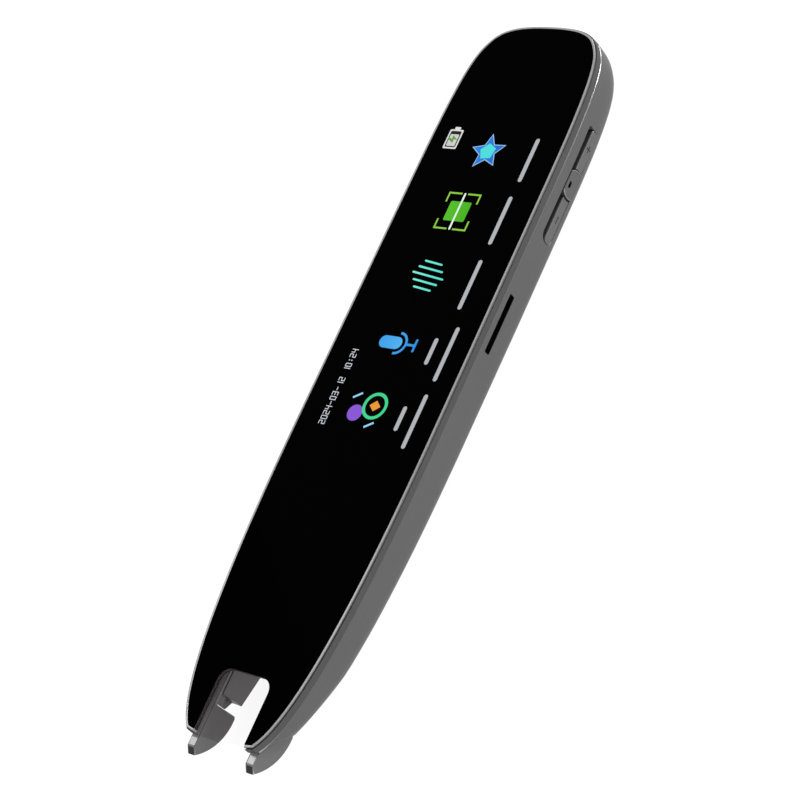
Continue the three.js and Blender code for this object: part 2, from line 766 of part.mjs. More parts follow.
// The camera ribbon runs along the tray beside the battery, from the main board to the tip board.
function cameraRibbon() {
  const outer = -cameraFlexSide - cameraFlex.halfWidth;
  const side = -cameraFlexSide + cameraFlex.halfWidth;
  const inner = -tipSwitch.halfWidth - fit;
  const top = board.end - cameraFlex.start;
  const end = trayEnd - slimFit;
  const t = ribbon.thickness;
  return join(
    block(outer, side, top - ribbon.foot, top + t, boardFront - t, boardFront),
    block(outer, side, top, top + t, trayBack, boardFront),
    block(outer, side, top, end, trayBack, trayBack + t),
    block(outer, inner, end - cameraFlex.footWidth, end, trayBack, trayBack + t),
    block(inner - cameraFlex.footWidth, inner, end - t, end, trayBack, tipBoardFront),
  );
}

function tipBoardPlate() {
  const holeRadius = post.radius + fit;
  return cut(
    wide(tipBoard.halfWidth, tipBoardTop, tipBoardEnd, tipBoardFront, tipBoardFront + tipBoard.thickness),
    stud(-tipScrewOffset, tipScrewRow, holeRadius, 0, thickness),
    stud(tipScrewOffset, tipScrewRow, holeRadius, 0, thickness),
  );
}

// Inlet and card socket.

function inletShape(grow) {
  const near = boardBack - grow;
  const far = boardBack + inlet.height + grow;
  return roundedRect(-inlet.halfWidth - grow, inlet.halfWidth + grow, near, far, (far - near) / 2);
}

function inletSpace(grow, s0, s1) {
  return lengthways(inletShape(grow), s0, s1);
}

function inletSocket() {
  const end = inlet.start + inlet.length;
  return cut(inletSpace(0, inlet.start, end), inletSpace(-inlet.sheet, -overrun, end - inlet.sheet));
}

function inletTongue() {
  const end = inlet.start + inlet.length - inlet.sheet;
  const near = boardBack + (inlet.height - tongue.height) / 2;
  return wide(tongue.halfWidth, end - tongue.length, end, near, near + tongue.height);
}

function cardOpening() {
  return block(cardMouth - overrun, halfWidth + overrun, cardSlot.top, cardSlot.top + cardSlot.length,
    cardSlotNear, cardSlotNear + cardSlot.height);
}

function cardSocketBody() {
  const { reach, sheet, margin } = cardSocket;
  const top = cardSlot.top - margin;
  const end = cardSlot.top + cardSlot.length + margin;
  return cut(
    block(cardMouth - reach, cardMouth, top - sheet, end + sheet, cardSlotNear, boardFront),
    block(cardMouth - reach + sheet, cardMouth + overrun, top, end, cardSlotNear + sheet, boardFront - sheet),
  );
}

// Side keys.

function saddleDisc(radius, x0, x1) {
  const geometry = new THREE.CylinderGeometry(radius, radius, x1 - x0, roundSides * 2);
  geometry.rotateZ(Math.PI / 2);
  geometry.translate((x0 + x1) / 2, middle - saddle.centre, thickness - keyDepth);
  return solid(geometry);
}

// A box round the middle of the key channel, between two distances from the middle of the pen.
function inChannel(x0, x1, centre, halfS, halfDepth) {
  return block(x0, x1, centre - halfS, centre + halfS, keyDepth - halfDepth, keyDepth + halfDepth);
}

// A key fills the channel from its own end to the saddle, and a flange behind the wall holds it in.
function key({ top, end, side }) {
  const inner = saddle.centre - side * fit;
  const outer = side > 0 ? top + fit : end - fit;
  const flangeEdge = outer - side * keyCap.flangeMargin;
  const halfHeight = channel.height / 2;
  const near = channel.near + fit;
  const capShape = roundedRect(...ordered(outer, inner), near, channelFar - fit, channel.corner - fit);
  const cap = sideways(capShape, keyFlangeInner, keyFace);
  const flangeMiddle = (flangeEdge + inner) / 2;
  const flangeHalf = Math.abs(flangeEdge - inner) / 2;
  const flange = inChannel(keyFlangeInner, keyFlangeOuter, flangeMiddle, flangeHalf, halfHeight + slimFit);
  const nub = inChannel(nubEnd, keyFlangeInner, (top + end) / 2, keyCap.nubHalf, keyCap.nubHalf);
  const clearance = saddleDisc(saddle.radius + fit, nubEnd, halfWidth + overrun);
  return join(cut(join(cap, flange), clearance), nub);
}

function ordered(a, b) {
  return [Math.min(a, b), Math.max(a, b)];
}

function keySaddle() {
  const { centre, radius, flangeMargin, hole, holeLength } = saddle;
  const half = channel.height / 2;
  const capBand = inChannel(keyFlangeInner, halfWidth, centre, radius, half - slimFit);
  const flangeBand = inChannel(keyFlangeInner, halfWidth, centre, radius, half + flangeMargin);
  const cap = saddleDisc(radius, keyFlangeInner, halfWidth - saddle.recess).intersect(capBand);
  const flange = saddleDisc(radius, keyFlangeInner, channelSeat).intersect(flangeBand);
  const holeNear = keyDepth - flangeMargin - hole / 2;
  const holeTop = centre - holeLength / 2;
  const holeShape = roundedRect(holeTop, holeTop + holeLength, holeNear, holeNear + hole, hole / 2);
  return cut(join(cap, flange), sideways(holeShape, nubEnd, halfWidth + overrun));
}

function keyBoardPlate() {
  const { thickness: t, margin, height } = keyBoard;
  const top = channel.top + margin;
  return block(keyBoardFace - t, keyBoardFace, top, channel.end - margin, boardFront, boardFront + height);
}

function sideSwitchBody({ top, end }) {
  const centre = (top + end) / 2;
  const hole = plunger.half + slimFit;
  return cut(
    inChannel(keyBoardFace, switchMouth, centre, sideSwitch.half, sideSwitch.halfHeight),
    inChannel(switchMouth - sideSwitch.pocket, switchMouth + overrun, centre, hole, hole),
  );
}

function sidePlunger({ top, end }) {
  return inChannel(nubEnd - plunger.length, nubEnd, (top + end) / 2, plunger.half, plunger.half);
}

function microphoneBody() {
  const { halfLength, height, depth } = microphone;
  return inChannel(keyBoardFace, keyBoardFace + depth, saddle.centre, halfLength, height / 2);
}

// Tip trigger: two fins on arms, joined by a bridge that presses the trigger switch.

function finShape() {
  const run = length - finTop;
  const at = ([a, b]) => [finTop + a * run, fin.near + b * fin.reach];
  const [first, second, end] = finShares.belly.map(at);
  const shape = new THREE.Shape();
  shape.moveTo(finTop, fin.near);
  shape.lineTo(...at(finShares.toe));
  shape.lineTo(...at(finShares.tip));
  shape.bezierCurveTo(...first, ...second, ...end);
  shape.lineTo(...at(finShares.shoulder));
  return shape;
}

function tipTrigger() {
  const root = finTop + slimFit;
  const sides = [1, -1].map((side) => {
    const span = (a, b) => ordered(side * a, side * b);
    return join(
      sideways(finShape(), ...span(opening.halfWidth, finOuter)),
      block(...span(opening.halfWidth, finOuter), bridgeTop, root, fin.near, fin.near + arm.flange),
      block(...span(finOuter - arm.thickness, finOuter), bridgeTop, root, fin.near, armFar),
    );
  });
  return join(...sides, wide(finOuter, bridgeTop, bridgeTop + bridge.width, bridge.near, bridgeFar));
}

function tipSwitchBody() {
  const hole = tipPlunger.half + slimFit;
  const centre = (bridge.near + bridgeFar) / 2;
  return cut(
    wide(tipSwitch.halfWidth, tipSwitchEnd - tipSwitch.length, tipSwitchEnd, tipSwitch.near, tipBoardFront),
    wide(hole, tipSwitchEnd - tipSwitch.pocket, tipSwitchEnd + overrun, centre - hole, centre + hole),
  );
}

function tipPlungerBody() {
  const centre = (bridge.near + bridgeFar) / 2;
  const { half, length: long } = tipPlunger;
  return wide(half, bridgeTop - long, bridgeTop, centre - half, centre + half);
}

// Hood, camera and lamps.

// Where the sloped face of the hood lies at a depth.
function hoodFace(depth) {
  return hoodEnd - (depth - hood.endDepth) * hoodLean;
}

function slopedPlate(halfX, near, far, step, t) {
  return sideways(polygon([
    [hoodFace(near) - step, near],
    [hoodFace(far) - step, far],
    [hoodFace(far) - step - t, far],
    [hoodFace(near) - step - t, near],
  ]), -halfX, halfX);
}

function scanHood() {
  const { near, far } = cheek;
  const top = hoodEnd - cheek.reach;
  const cheekShape = polygon([[top, near], [hoodFace(near), near], [hoodFace(far), far], [top, far]]);
  const edge = hoodHalfWidth - hood.cheek;
  const opened = cameraWindow.halfWidth + slimFit;
  return cut(
    join(
      slopedPlate(hoodHalfWidth, hood.endDepth, hood.endDepth + hood.height, 0, hood.thickness),
      sideways(cheekShape, edge, hoodHalfWidth),
      sideways(cheekShape, -hoodHalfWidth, -edge),
    ),
    wide(opened, top, length, cameraWindow.near - slimFit, cameraWindow.far + slimFit),
  );
}

function cameraWindowPane() {
  const { halfWidth: halfX, near, far, step, thickness: t } = cameraWindow;
  return slopedPlate(halfX, near, far, step, t);
}

// Pieces of the camera lie along its own axis, here +Y, with the window at the origin.
function axisBox(halfX, halfZ, start, long) {
  const geometry = new THREE.BoxGeometry(2 * halfX, long, 2 * halfZ);
  geometry.translate(0, start + long / 2, 0);
  return solid(geometry);
}

function axisDisc(radius, start, long) {
  const geometry = new THREE.CylinderGeometry(radius, radius, long, roundSides);
  geometry.translate(0, start + long / 2, 0);
  return solid(geometry);
}

function cameraLens() {
  return cut(
    axisDisc(lens.radius, lens.start, lens.length),
    axisDisc(lens.radius - lens.rim, lens.start - overrun, overrun + lens.recess),
  );
}

function cameraGroup() {
  const aimDepth = (cameraWindow.near + cameraWindow.far) / 2;
  const aim = hoodFace(aimDepth) - cameraWindow.step - cameraWindow.thickness;
  const holderStart = lens.start + lens.length + holder.gap;
  const boardStart = holderStart + holder.length + holder.gap;
  const boardHalf = hoodHalfWidth - hood.cheek - cameraBoard.gap;
  const holderBody = axisBox(holder.half, holder.half, holderStart, holder.length);
  const boardBody = axisBox(boardHalf, cameraBoard.halfHeight, boardStart, cameraBoard.thickness);
  const group = new THREE.Group();
  group.position.set(0, middle - aim, thickness - aimDepth);
  group.rotation.x = -cameraTilt;
  group.add(
    piece('camera_lens', cameraLens(), finishes.lens),
    piece('camera_holder', holderBody, finishes.black),
    piece('camera_board', boardBody, finishes.board),
  );
  return group;
}

// The lamps stand on a bracket-shaped board that leaves the lens a clear view.
function lightBoardPlate() {
  const { gap, reach, thickness: t, near, far, viewHalf, viewFar } = lightBoard;
  const half = hoodHalfWidth - hood.cheek - gap;
  const top = hoodEnd - reach;
  const view = wide(viewHalf, top - overrun, top + overrun, near - overrun, viewFar);
  return cut(wide(half, top, top + t, near, far), view);
}

function lampBody(side) {
  const { half, height, offset, depth } = lamp;
  const start = hoodEnd - lightBoard.reach + lightBoard.thickness;
  const x = side * offset;
  return block(x - half, x + half, start, start + height, depth - half, depth + half);
}

// Case screws.

function caseScrew(x, s) {
  const crown = screwSeat + screw.headHeight;
  const half = screw.drive / 2;
  const reach = screw.headRadius - screw.drive;
  return cut(
    join(
      stud(x, s, screw.headRadius, screwSeat, crown),
      stud(x, s, screw.shaftRadius, screwEnd, screwSeat + half),
    ),
    block(x - reach, x + reach, s - half, s + half, crown - screw.driveDepth, crown + overrun),
    block(x - half, x + half, s - reach, s + reach, crown - screw.driveDepth, crown + overrun),
  );
}

const pen = new THREE.Group();
pen.add(
  piece('front_glass', frontGlass(), finishes.glass),
  piece('glass_seal', glassSeal(), finishes.seal),
  piece('front_frame', frontFrame(), finishes.casing),
  piece('rear_shell', rearShell(), finishes.casing),
  piece('back_plate', backPlate(), finishes.brushed),
  piece('sound_panel', soundPanel(), finishes.panel),
  piece('sound_trim', soundTrim(), finishes.bright),
  piece('speaker_mesh', speakerMesh(), finishes.mesh),
  piece('speaker_gasket', speakerGasket(), finishes.foam),
  piece('speaker_frame', speakerFrame(), finishes.black),
  piece('speaker_cone', speakerCone(), finishes.cone),
  piece('speaker_magnet', speakerMagnet(), finishes.magnet),
  piece('display_panel', displayPanel(), finishes.display),
  piece('display_backlight', displayBacklight(), finishes.backlight),
  piece('display_ribbon', displayRibbon(), finishes.ribbon),
  piece('main_board', mainBoard(), finishes.board),
  piece('processor', onBoard(processor, -1), finishes.chip),
  piece('memory_chip', onBoard(memory, -1), finishes.chip),
  piece('shield_can', shieldCan(), finishes.can),
  piece('wireless_antenna', onBoard(antenna, -1), finishes.lamp),
  piece('battery_cell', batteryCell(), finishes.cell),
  piece('battery_pad', batteryPad(), finishes.foam),
  piece('camera_ribbon', cameraRibbon(), finishes.ribbon),
  piece('tip_board', tipBoardPlate(), finishes.board),
  piece('inlet_socket', inletSocket(), finishes.can),
  piece('inlet_tongue', inletTongue(), finishes.black),
  piece('card_socket', cardSocketBody(), finishes.can),
  piece('upper_key', key(upperKey), finishes.casing),
  piece('lower_key', key(lowerKey), finishes.casing),
  piece('key_saddle', keySaddle(), finishes.casing),
  piece('key_board', keyBoardPlate(), finishes.board),
  piece('upper_switch', sideSwitchBody(upperKey), finishes.black),
  piece('upper_plunger', sidePlunger(upperKey), finishes.lamp),
  piece('lower_switch', sideSwitchBody(lowerKey), finishes.black),
  piece('lower_plunger', sidePlunger(lowerKey), finishes.lamp),
  piece('microphone', microphoneBody(), finishes.can),
  piece('tip_trigger', tipTrigger(), finishes.casing),
  piece('trigger_switch', tipSwitchBody(), finishes.black),
  piece('trigger_plunger', tipPlungerBody(), finishes.lamp),
  piece('scan_hood', scanHood(), finishes.casing),
  piece('camera_window', cameraWindowPane(), finishes.lens),
  cameraGroup(),
  piece('light_board', lightBoardPlate(), finishes.board),
  piece('left_lamp', lampBody(-1), finishes.lamp),
  piece('right_lamp', lampBody(1), finishes.lamp),
);
screwSpots().forEach(([x, s], i) => pen.add(piece(`case_screw_${i + 1}`, caseScrew(x, s), finishes.screw)));

export default pen;
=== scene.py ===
"""Looks of a handheld scanning pen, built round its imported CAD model.

A place along the pen is its distance from the top end, and a depth is the distance back from the glass.
Lengths are in millimetres, and at() turns them into the frame's metres.
"""
import math

import bmesh
import bpy
from mathutils import Matrix, Vector


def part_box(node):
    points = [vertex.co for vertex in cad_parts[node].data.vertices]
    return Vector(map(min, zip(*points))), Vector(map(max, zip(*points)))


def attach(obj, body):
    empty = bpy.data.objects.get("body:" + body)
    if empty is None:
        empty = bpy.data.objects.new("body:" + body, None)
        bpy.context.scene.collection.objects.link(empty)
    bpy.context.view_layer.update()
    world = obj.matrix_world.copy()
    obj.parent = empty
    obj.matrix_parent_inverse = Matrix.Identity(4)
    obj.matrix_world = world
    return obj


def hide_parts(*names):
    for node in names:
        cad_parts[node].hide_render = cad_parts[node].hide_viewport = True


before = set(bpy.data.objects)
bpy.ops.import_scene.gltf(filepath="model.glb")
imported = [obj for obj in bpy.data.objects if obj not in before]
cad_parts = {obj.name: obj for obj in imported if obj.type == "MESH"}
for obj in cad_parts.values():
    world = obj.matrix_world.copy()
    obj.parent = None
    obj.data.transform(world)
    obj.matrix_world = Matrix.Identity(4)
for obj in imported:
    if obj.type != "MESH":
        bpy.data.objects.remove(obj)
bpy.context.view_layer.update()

MM = 0.001
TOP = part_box("front_frame")[1].y / MM
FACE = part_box("front_glass")[1].z / MM
HALF_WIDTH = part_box("front_frame")[1].x / MM
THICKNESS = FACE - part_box("rear_shell")[0].z / MM
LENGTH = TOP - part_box("tip_trigger")[0].y / MM
CASE_BODY = "pen_case"
TRIGGER_BODY = "trigger"
SIDES = (1, -1)
BLACK = (0, 0, 0, 1)
WHITE = (1, 1, 1, 1)


def add_object(name, data):
    made = bpy.data.objects.new(name, data)
    bpy.context.scene.collection.objects.link(made)
    return made


# ------------ camera

PICTURE_PIXELS = 800
FOCAL_PIXELS = 2240.75
SENSOR = 36
CAMERA_PLACE = (0.26424, -0.12678, 0.30430)
CAMERA_TURNS = (("Y", 0.72621), ("X", 0.30213), ("Z", 0.43222))

camera_data = bpy.data.cameras.new("photo_camera")
camera_data.sensor_width = SENSOR
camera_data.lens = SENSOR * FOCAL_PIXELS / PICTURE_PIXELS
camera_data.clip_start = 0.01
camera = add_object("photo_camera", camera_data)
stand = Matrix.Translation(CAMERA_PLACE)
for axis, turn in CAMERA_TURNS:
    stand = stand @ Matrix.Rotation(turn, 4, axis)
camera.matrix_world = stand
bpy.context.scene.camera = camera
bpy.context.scene.view_settings.view_transform = "Standard"

# ------------ shader helpers


def tone(code):
    """A colour written as RRGGBB, as the linear colour that a shader takes."""
    parts = [int(code[i:i + 2], 16) / 255 for i in (0, 2, 4)]
    return (*[c / 12.92 if c <= 0.04045 else ((c + 0.055) / 1.055) ** 2.4 for c in parts], 1)


def shades(code, *shares):
    """A colour made darker or lighter, once for each share."""
    return [tuple(min(1, c * share) for c in tone(code)[:3]) + (1,) for share in shares]


class Socket:
    """An output in a shader. Sums and products of these add the Math nodes that they need."""

    def __init__(self, shader, output):
        self.shader = shader
        self.output = output

    def maths(self, operation, first, second):
        return self.shader.node("ShaderNodeMath", {"operation": operation}, {0: first, 1: second})

    def __add__(self, other):
        return self.maths("ADD", self, other)

    def __sub__(self, other):
        return self.maths("SUBTRACT", self, other)

    def __rsub__(self, other):
        return self.maths("SUBTRACT", other, self)

    def __mul__(self, other):
        return self.maths("MULTIPLY", self, other)

    def __gt__(self, other):
        return self.maths("GREATER_THAN", self, other)

    __radd__ = __add__
    __rmul__ = __mul__


class Shader:
    """The node tree of a material or of the world."""

    def __init__(self, owner):
        owner.use_nodes = True
        self.tree = owner.node_tree
        self.tree.nodes.clear()

    def node(self, kind, settings, values, output=0):
        made = self.tree.nodes.new(kind)
        for name, value in settings.items():
            setattr(made, name, value)
        for name, value in values.items():
            if isinstance(value, Socket):
                self.tree.links.new(value.output, made.inputs[name])
            else:
                made.inputs[name].default_value = value
        return Socket(self, made.outputs[output])

    def place(self, stretch=(1, 1, 1)):
        """Where a point of the surface is, in metres, with each axis stretched."""
        spot = self.node("ShaderNodeTexCoord", {}, {}, "Object")
        return self.node("ShaderNodeVectorMath", {"operation": "MULTIPLY"}, {0: spot, 1: stretch})

    def noise(self, per_mm, stretch=(1, 1, 1), detail=3.0):
        values = {"Vector": self.place(stretch), "Scale": per_mm / MM, "Detail": detail}
        return self.node("ShaderNodeTexNoise", {}, values, "Fac")

    def blend(self, share, first, second):
        return self.node("ShaderNodeMix", {"data_type": "RGBA"}, {0: share, 6: first, 7: second}, 2)

    def ramp(self, axis, start, end):
        """The share of the way from one place to another, both in metres, along an axis."""
        spot = self.node("ShaderNodeSeparateXYZ", {}, {0: self.place()}, axis)
        return self.node("ShaderNodeMapRange", {}, {0: spot, 1: start, 2: end})

    def bump(self, height, height_mm):
        return self.node("ShaderNodeBump", {}, {"Strength": 1.0, "Distance": height_mm * MM, "Height": height})

    def seen(self):
        """1 for rays that show the background: from the camera, off gloss and through glass."""
        kinds = ("Is Camera Ray", "Is Glossy Ray", "Is Transmission Ray")
        rays = [self.node("ShaderNodeLightPath", {}, {}, kind) for kind in kinds]
        clamped_sum = {"operation": "ADD", "use_clamp": True}
        return self.node("ShaderNodeMath", clamped_sum, {0: rays[0] + rays[1], 1: rays[2]})

    def surface(self, **values):
        named = {name.replace("_", " "): value for name, value in values.items()}
        self.node_out(self.node("ShaderNodeBsdfPrincipled", {}, named))

    def node_out(self, shade, kind="ShaderNodeOutputMaterial"):
        out = self.tree.nodes.new(kind)
        self.tree.links.new(shade.output, out.inputs["Surface"])


def new_material(name):
    material = bpy.data.materials.new(name)
    return material, Shader(material)


# ------------ light and floor

AMBIENT = 0.45
SHADOW_KEPT = 0.16
PAPER_GREY = 0.86
FLOOR_WHITE = 1.09
FLOOR_HALF = 2.0
FLOOR_DROP = 0.00005

world = bpy.data.worlds.new("soft_white")
bpy.context.scene.world = world
sky = Shader(world)
sky_light = AMBIENT + (1 - AMBIENT) * sky.seen()
backdrop = sky.node("ShaderNodeBackground", {}, {"Color": WHITE, "Strength": sky_light})
sky.node_out(backdrop, "ShaderNodeOutputWorld")

floor_material, floor_shader = new_material("pale_floor")
paper = floor_shader.node("ShaderNodeBsdfDiffuse", {}, {"Color": (PAPER_GREY, PAPER_GREY, PAPER_GREY, 1)})
white = floor_shader.node("ShaderNodeEmission", {}, {"Color": WHITE, "Strength": FLOOR_WHITE})
white_share = floor_shader.seen() * (1 - SHADOW_KEPT)
floor_shader.node_out(floor_shader.node("ShaderNodeMixShader", {}, {0: white_share, 1: paper, 2: white}))
floor_mesh = bpy.data.meshes.new("floor")
corners = [(x * FLOOR_HALF, y * FLOOR_HALF, -FLOOR_DROP) for x, y in ((-1, -1), (1, -1), (1, 1), (-1, 1))]
floor_mesh.from_pydata(corners, [], [(0, 1, 2, 3)])
floor_mesh.materials.append(floor_material)
floor = add_object("floor", floor_mesh)

# Name, place and size in metres, and power in watts. Each lamp points at the pen.
LAMPS = [
    ("overhead_softbox", (-0.25, 0.35, 0.9), 1.0, 8.0),
    ("top_end_softbox", (0.12, 1.0, 0.16), 0.4, 12.0),
    ("tip_end_softbox", (0.5, -0.9, 0.16), 0.4, 12.0),
    ("corner_softbox", (0.6, 0.75, 0.2), 0.25, 9.0),
]
for name, place, size, power in LAMPS:
    lamp = bpy.data.lights.new(name, "AREA")
    lamp.shape = "SQUARE"
    lamp.size = size
    lamp.energy = power
    holder = add_object(name, lamp)
    holder.location = place
    holder.rotation_euler = (-Vector(place)).to_track_quat("-Z", "Y").to_euler()

# ------------ outlines

CURVE_STEPS = 14
STRAIGHT_STEPS = 10
CORNER_STEPS = 6
TINY = 1e-9
OFF_MIDDLE = 1e-6
SLIVER = 1e-4
LEAST_MITRE = 0.2

# How far a cutter reaches past what it cuts.
OVERRUN = 4
MARGIN = 1
PAST_END = LENGTH + OVERRUN

# Corner radii of plain blocks.
CORNER = 0.1
FINE_CORNER = 0.05
SHARP_CORNER = 0.01

CASE_LENGTH = 152.4
TOP_RUN = 35
TIP_RUN = 67
TIP_START = CASE_LENGTH - TIP_RUN
NOSE_BOW = 0.9
ISLAND_HALF_WIDTH = 10.9
ISLAND_TOP = 8.5

# Shares of the half width, and of the run of each end, along the outlines of the case and of its crest.
TOP_CORNER_SHARES = [(0.351, 0), (0.636, 0.014), (0.771, 0.106), (0.907, 0.199), (1, 0.277), (1, 1)]
TIP_SIDE_SHARES = [(1, 0.18), (0.99, 0.4), (0.929, 0.576), (0.874, 0.735), (0.772, 0.929), (0.5, 1)]
NOSE_SHARES = [(0.34, 0.75), (0.17, 1), (0, 1)]
CREST_TOP_SHARES = [(0.42, 0), (0.67, 0.03), (0.8, 0.105), (0.915, 0.18), (0.985, 0.36), (1, 1)]
CREST_TIP_SHARES = [
    (1, 0.176), (0.963, 0.339), (0.853, 0.503), (0.761, 0.637), (0.688, 0.756), (0.606, 0.897),
    (0.4, 0.9), (0.2, 0.905), (0, 0.905),
]


def at(x, s, d):
    return Vector((x, TOP - s, FACE - d)) * MM


def begun(x, s):
    return [Vector((x, s))]


def curved(line, shares, x_scale, s_start, s_scale, x_start=0):
    """Carries a line on along curves whose control points are given as shares."""
    points = [Vector((x_start + x * x_scale, s_start + s * s_scale)) for x, s in shares]
    for i in range(0, len(points), 3):
        a, (b, c, d) = line[-1], points[i:i + 3]
        for k in range(1, CURVE_STEPS + 1):
            t = k / CURVE_STEPS
            u = 1 - t
            line.append(a * u ** 3 + b * 3 * u * u * t + c * 3 * u * t * t + d * t ** 3)
    return line


def straight(line, x, s, steps=1):
    """Carries a line on to a point."""
    start, end = line[-1], Vector((x, s))
    line += [start.lerp(end, k / steps) for k in range(1, steps + 1)]
    return line


def whole(line):
    """The closed outline of a right half and its mirror."""
    return line + [Vector((-p.x, p.y)) for p in reversed(line) if abs(p.x) > OFF_MIDDLE]


def inset(loop, amount):
    """A closed outline moved inwards, square to itself."""
    count = len(loop)
    area = sum(a.x * b.y - a.y * b.x for a, b in zip(loop, loop[1:] + loop[:1]))
    turn = math.copysign(1, area)
    moved = []
    for i, point in enumerate(loop):
        before = (point - loop[i - 1]).normalized()
        after = (loop[(i + 1) % count] - point).normalized()
        first = Vector((-before.y, before.x)) * turn
        second = Vector((-after.y, after.x)) * turn
        moved.append(point + (first + second) * (amount / max(LEAST_MITRE, 1 + first.dot(second))))
    return moved


def rounded(a0, a1, b0, b1, radius, start_radius=None):
    """A rectangle with round corners. Those at its start may have a radius of their own."""
    most = min(a1 - a0, b1 - b0) / 2 - SLIVER
    r, q = min(radius, most), min(start_radius or radius, most)
    centres = ((a1 - r, b0 + r, r, -1), (a1 - r, b1 - r, r, 0), (a0 + q, b1 - q, q, 1), (a0 + q, b0 + q, q, 2))
    turns = [
        (a, b, c, (k / CORNER_STEPS + turn) * math.pi / 2)
        for a, b, c, turn in centres for k in range(CORNER_STEPS + 1)
    ]
    return [Vector((a + c * math.cos(t), b + c * math.sin(t))) for a, b, c, t in turns]


def centred(half, start, end, corner):
    """A rectangle across the middle of the pen."""
    return rounded(-half, half, start, end, corner)


def beside(side, inner, outer, start, end, corner):
    """A rectangle on one side of the pen."""
    return rounded(*sorted((side * inner, side * outer)), start, end, corner)


def circle(a, b, radius, steps):
    turns = [k / steps * 2 * math.pi for k in range(steps)]
    return [Vector((a + radius * math.cos(t), b + radius * math.sin(t))) for t in turns]


def shifted(line, amount):
    """A half line moved square to itself, with the far end of the pen as its inside."""
    far = [Vector((line[-1].x, 2 * LENGTH)), Vector((0, 2 * LENGTH))]
    return inset(whole(line + far), amount)[:len(line)]


def crossing(first, second):
    """Follows the first line until it crosses the second, and the second one on from there."""
    for i in range(len(first) - 1):
        for j in range(len(second) - 1):
            a, b = first[i], first[i + 1] - first[i]
            c, d = second[j], second[j + 1] - second[j]
            scale = b.x * d.y - b.y * d.x
            if abs(scale) > TINY:
                t = ((c - a).x * d.y - (c - a).y * d.x) / scale
                u = ((c - a).x * b.y - (c - a).y * b.x) / scale
                if 0 <= t <= 1 and 0 <= u <= 1:
                    return first[:i + 1] + [a + b * t] + second[j + 1:]
    raise ValueError("the lines do not cross")


def resampled(loop, count):
    """The same closed outline through evenly spaced points."""
    closed = loop + loop[:1]
    lengths = [0]
    for a, b in zip(closed, closed[1:]):
        lengths.append(lengths[-1] + (b - a).length)
    points, i = [], 0
    for k in range(count):
        goal = lengths[-1] * k / count
        while lengths[i + 1] < goal:
            i += 1
        share = (goal - lengths[i]) / max(TINY, lengths[i + 1] - lengths[i])
        points.append(closed[i].lerp(closed[i + 1], share))
    return points


case_line = curved(begun(0, 0), TOP_CORNER_SHARES, HALF_WIDTH, 0, TOP_RUN)
case_line = straight(case_line, HALF_WIDTH, TIP_START, STRAIGHT_STEPS)
case_line = curved(case_line, TIP_SIDE_SHARES, HALF_WIDTH, TIP_START, TIP_RUN)
case_line = curved(case_line, NOSE_SHARES, HALF_WIDTH, CASE_LENGTH, NOSE_BOW)
case_loop = whole(case_line)

crest_line = curved(begun(0, ISLAND_TOP), CREST_TOP_SHARES, ISLAND_HALF_WIDTH, ISLAND_TOP, TOP_RUN - ISLAND_TOP)
crest_line = straight(crest_line, ISLAND_HALF_WIDTH, TIP_START, STRAIGHT_STEPS)
crest_line = curved(crest_line, CREST_TIP_SHARES, ISLAND_HALF_WIDTH, TIP_START, TIP_RUN)
crest_loop = whole(crest_line)

# ------------ mesh helpers

EDGE_STEPS = 4
SMOOTH_ANGLE = 32

# From inside the key side's wall to outside it.
WALL_INSIDE = 12
WALL_OUTSIDE = 18


def shape(rings, joined=False, strips=False):
    """A closed mesh through rings of places. Its ends are flat caps, or curved ones in strips from side
    to side, or they are joined to each other."""
    count = len(rings[0])
    faces = []
    for k in range(len(rings) if joined else len(rings) - 1):
        a, b = k * count, (k + 1) % len(rings) * count
        faces += [(a + i, a + (i + 1) % count, b + (i + 1) % count, b + i) for i in range(count)]
    last = (len(rings) - 1) * count
    if strips:
        for i in range(count // 2):
            strip = dict.fromkeys((i, i + 1, count - i - 1, (count - i) % count))
            faces += [tuple(strip)[::-1], tuple(last + k for k in strip)]
    elif not joined:
        faces += [tuple(range(count))[::-1], tuple(range(last, last + count))]
    mesh = bpy.data.meshes.new("part")
    mesh.from_pydata([at(*place) for places in rings for place in places], [], faces)
    edit = bmesh.new()
    edit.from_mesh(mesh)
    if edit.calc_volume(signed=True) < 0:
        bmesh.ops.reverse_faces(edit, faces=edit.faces)
    edit.to_mesh(mesh)
    edit.free()
    return add_object("part", mesh)


def combined(made, operation, others):
    """The result of boolean steps, as a plain mesh. The other shapes are used up."""
    for other in others:
        step = made.modifiers.new("step", "BOOLEAN")
        step.operation = operation
        step.solver = "MANIFOLD"
        step.object = other
    graph = bpy.context.evaluated_depsgraph_get()
    mesh = bpy.data.meshes.new_from_object(made.evaluated_get(graph))
    made.modifiers.clear()
    made.data = mesh
    for other in others:
        bpy.data.objects.remove(other)
    return made


def cut(made, *others):
    return combined(made, "DIFFERENCE", others)


def join(made, *others):
    return combined(made, "UNION", others)


def common(made, *others):
    return combined(made, "INTERSECT", others)


def gathered(pieces):
    """One mesh made of several that stand apart."""
    edit = bmesh.new()
    for piece in pieces:
        edit.from_mesh(piece.data)
        bpy.data.objects.remove(piece)
    mesh = bpy.data.meshes.new("part")
    edit.to_mesh(mesh)
    edit.free()
    return add_object("part", mesh)


def ring(loop, way, level):
    """An outline as places. It is carried through the depth, sideways, or along the pen."""
    levels = [level(p) if callable(level) else level for p in loop]
    if way == "depth":
        return [(p.x, p.y, v) for p, v in zip(loop, levels)]
    if way == "side":
        return [(v, p.x, p.y) for p, v in zip(loop, levels)]
    return [(p.x, v, p.y) for p, v in zip(loop, levels)]


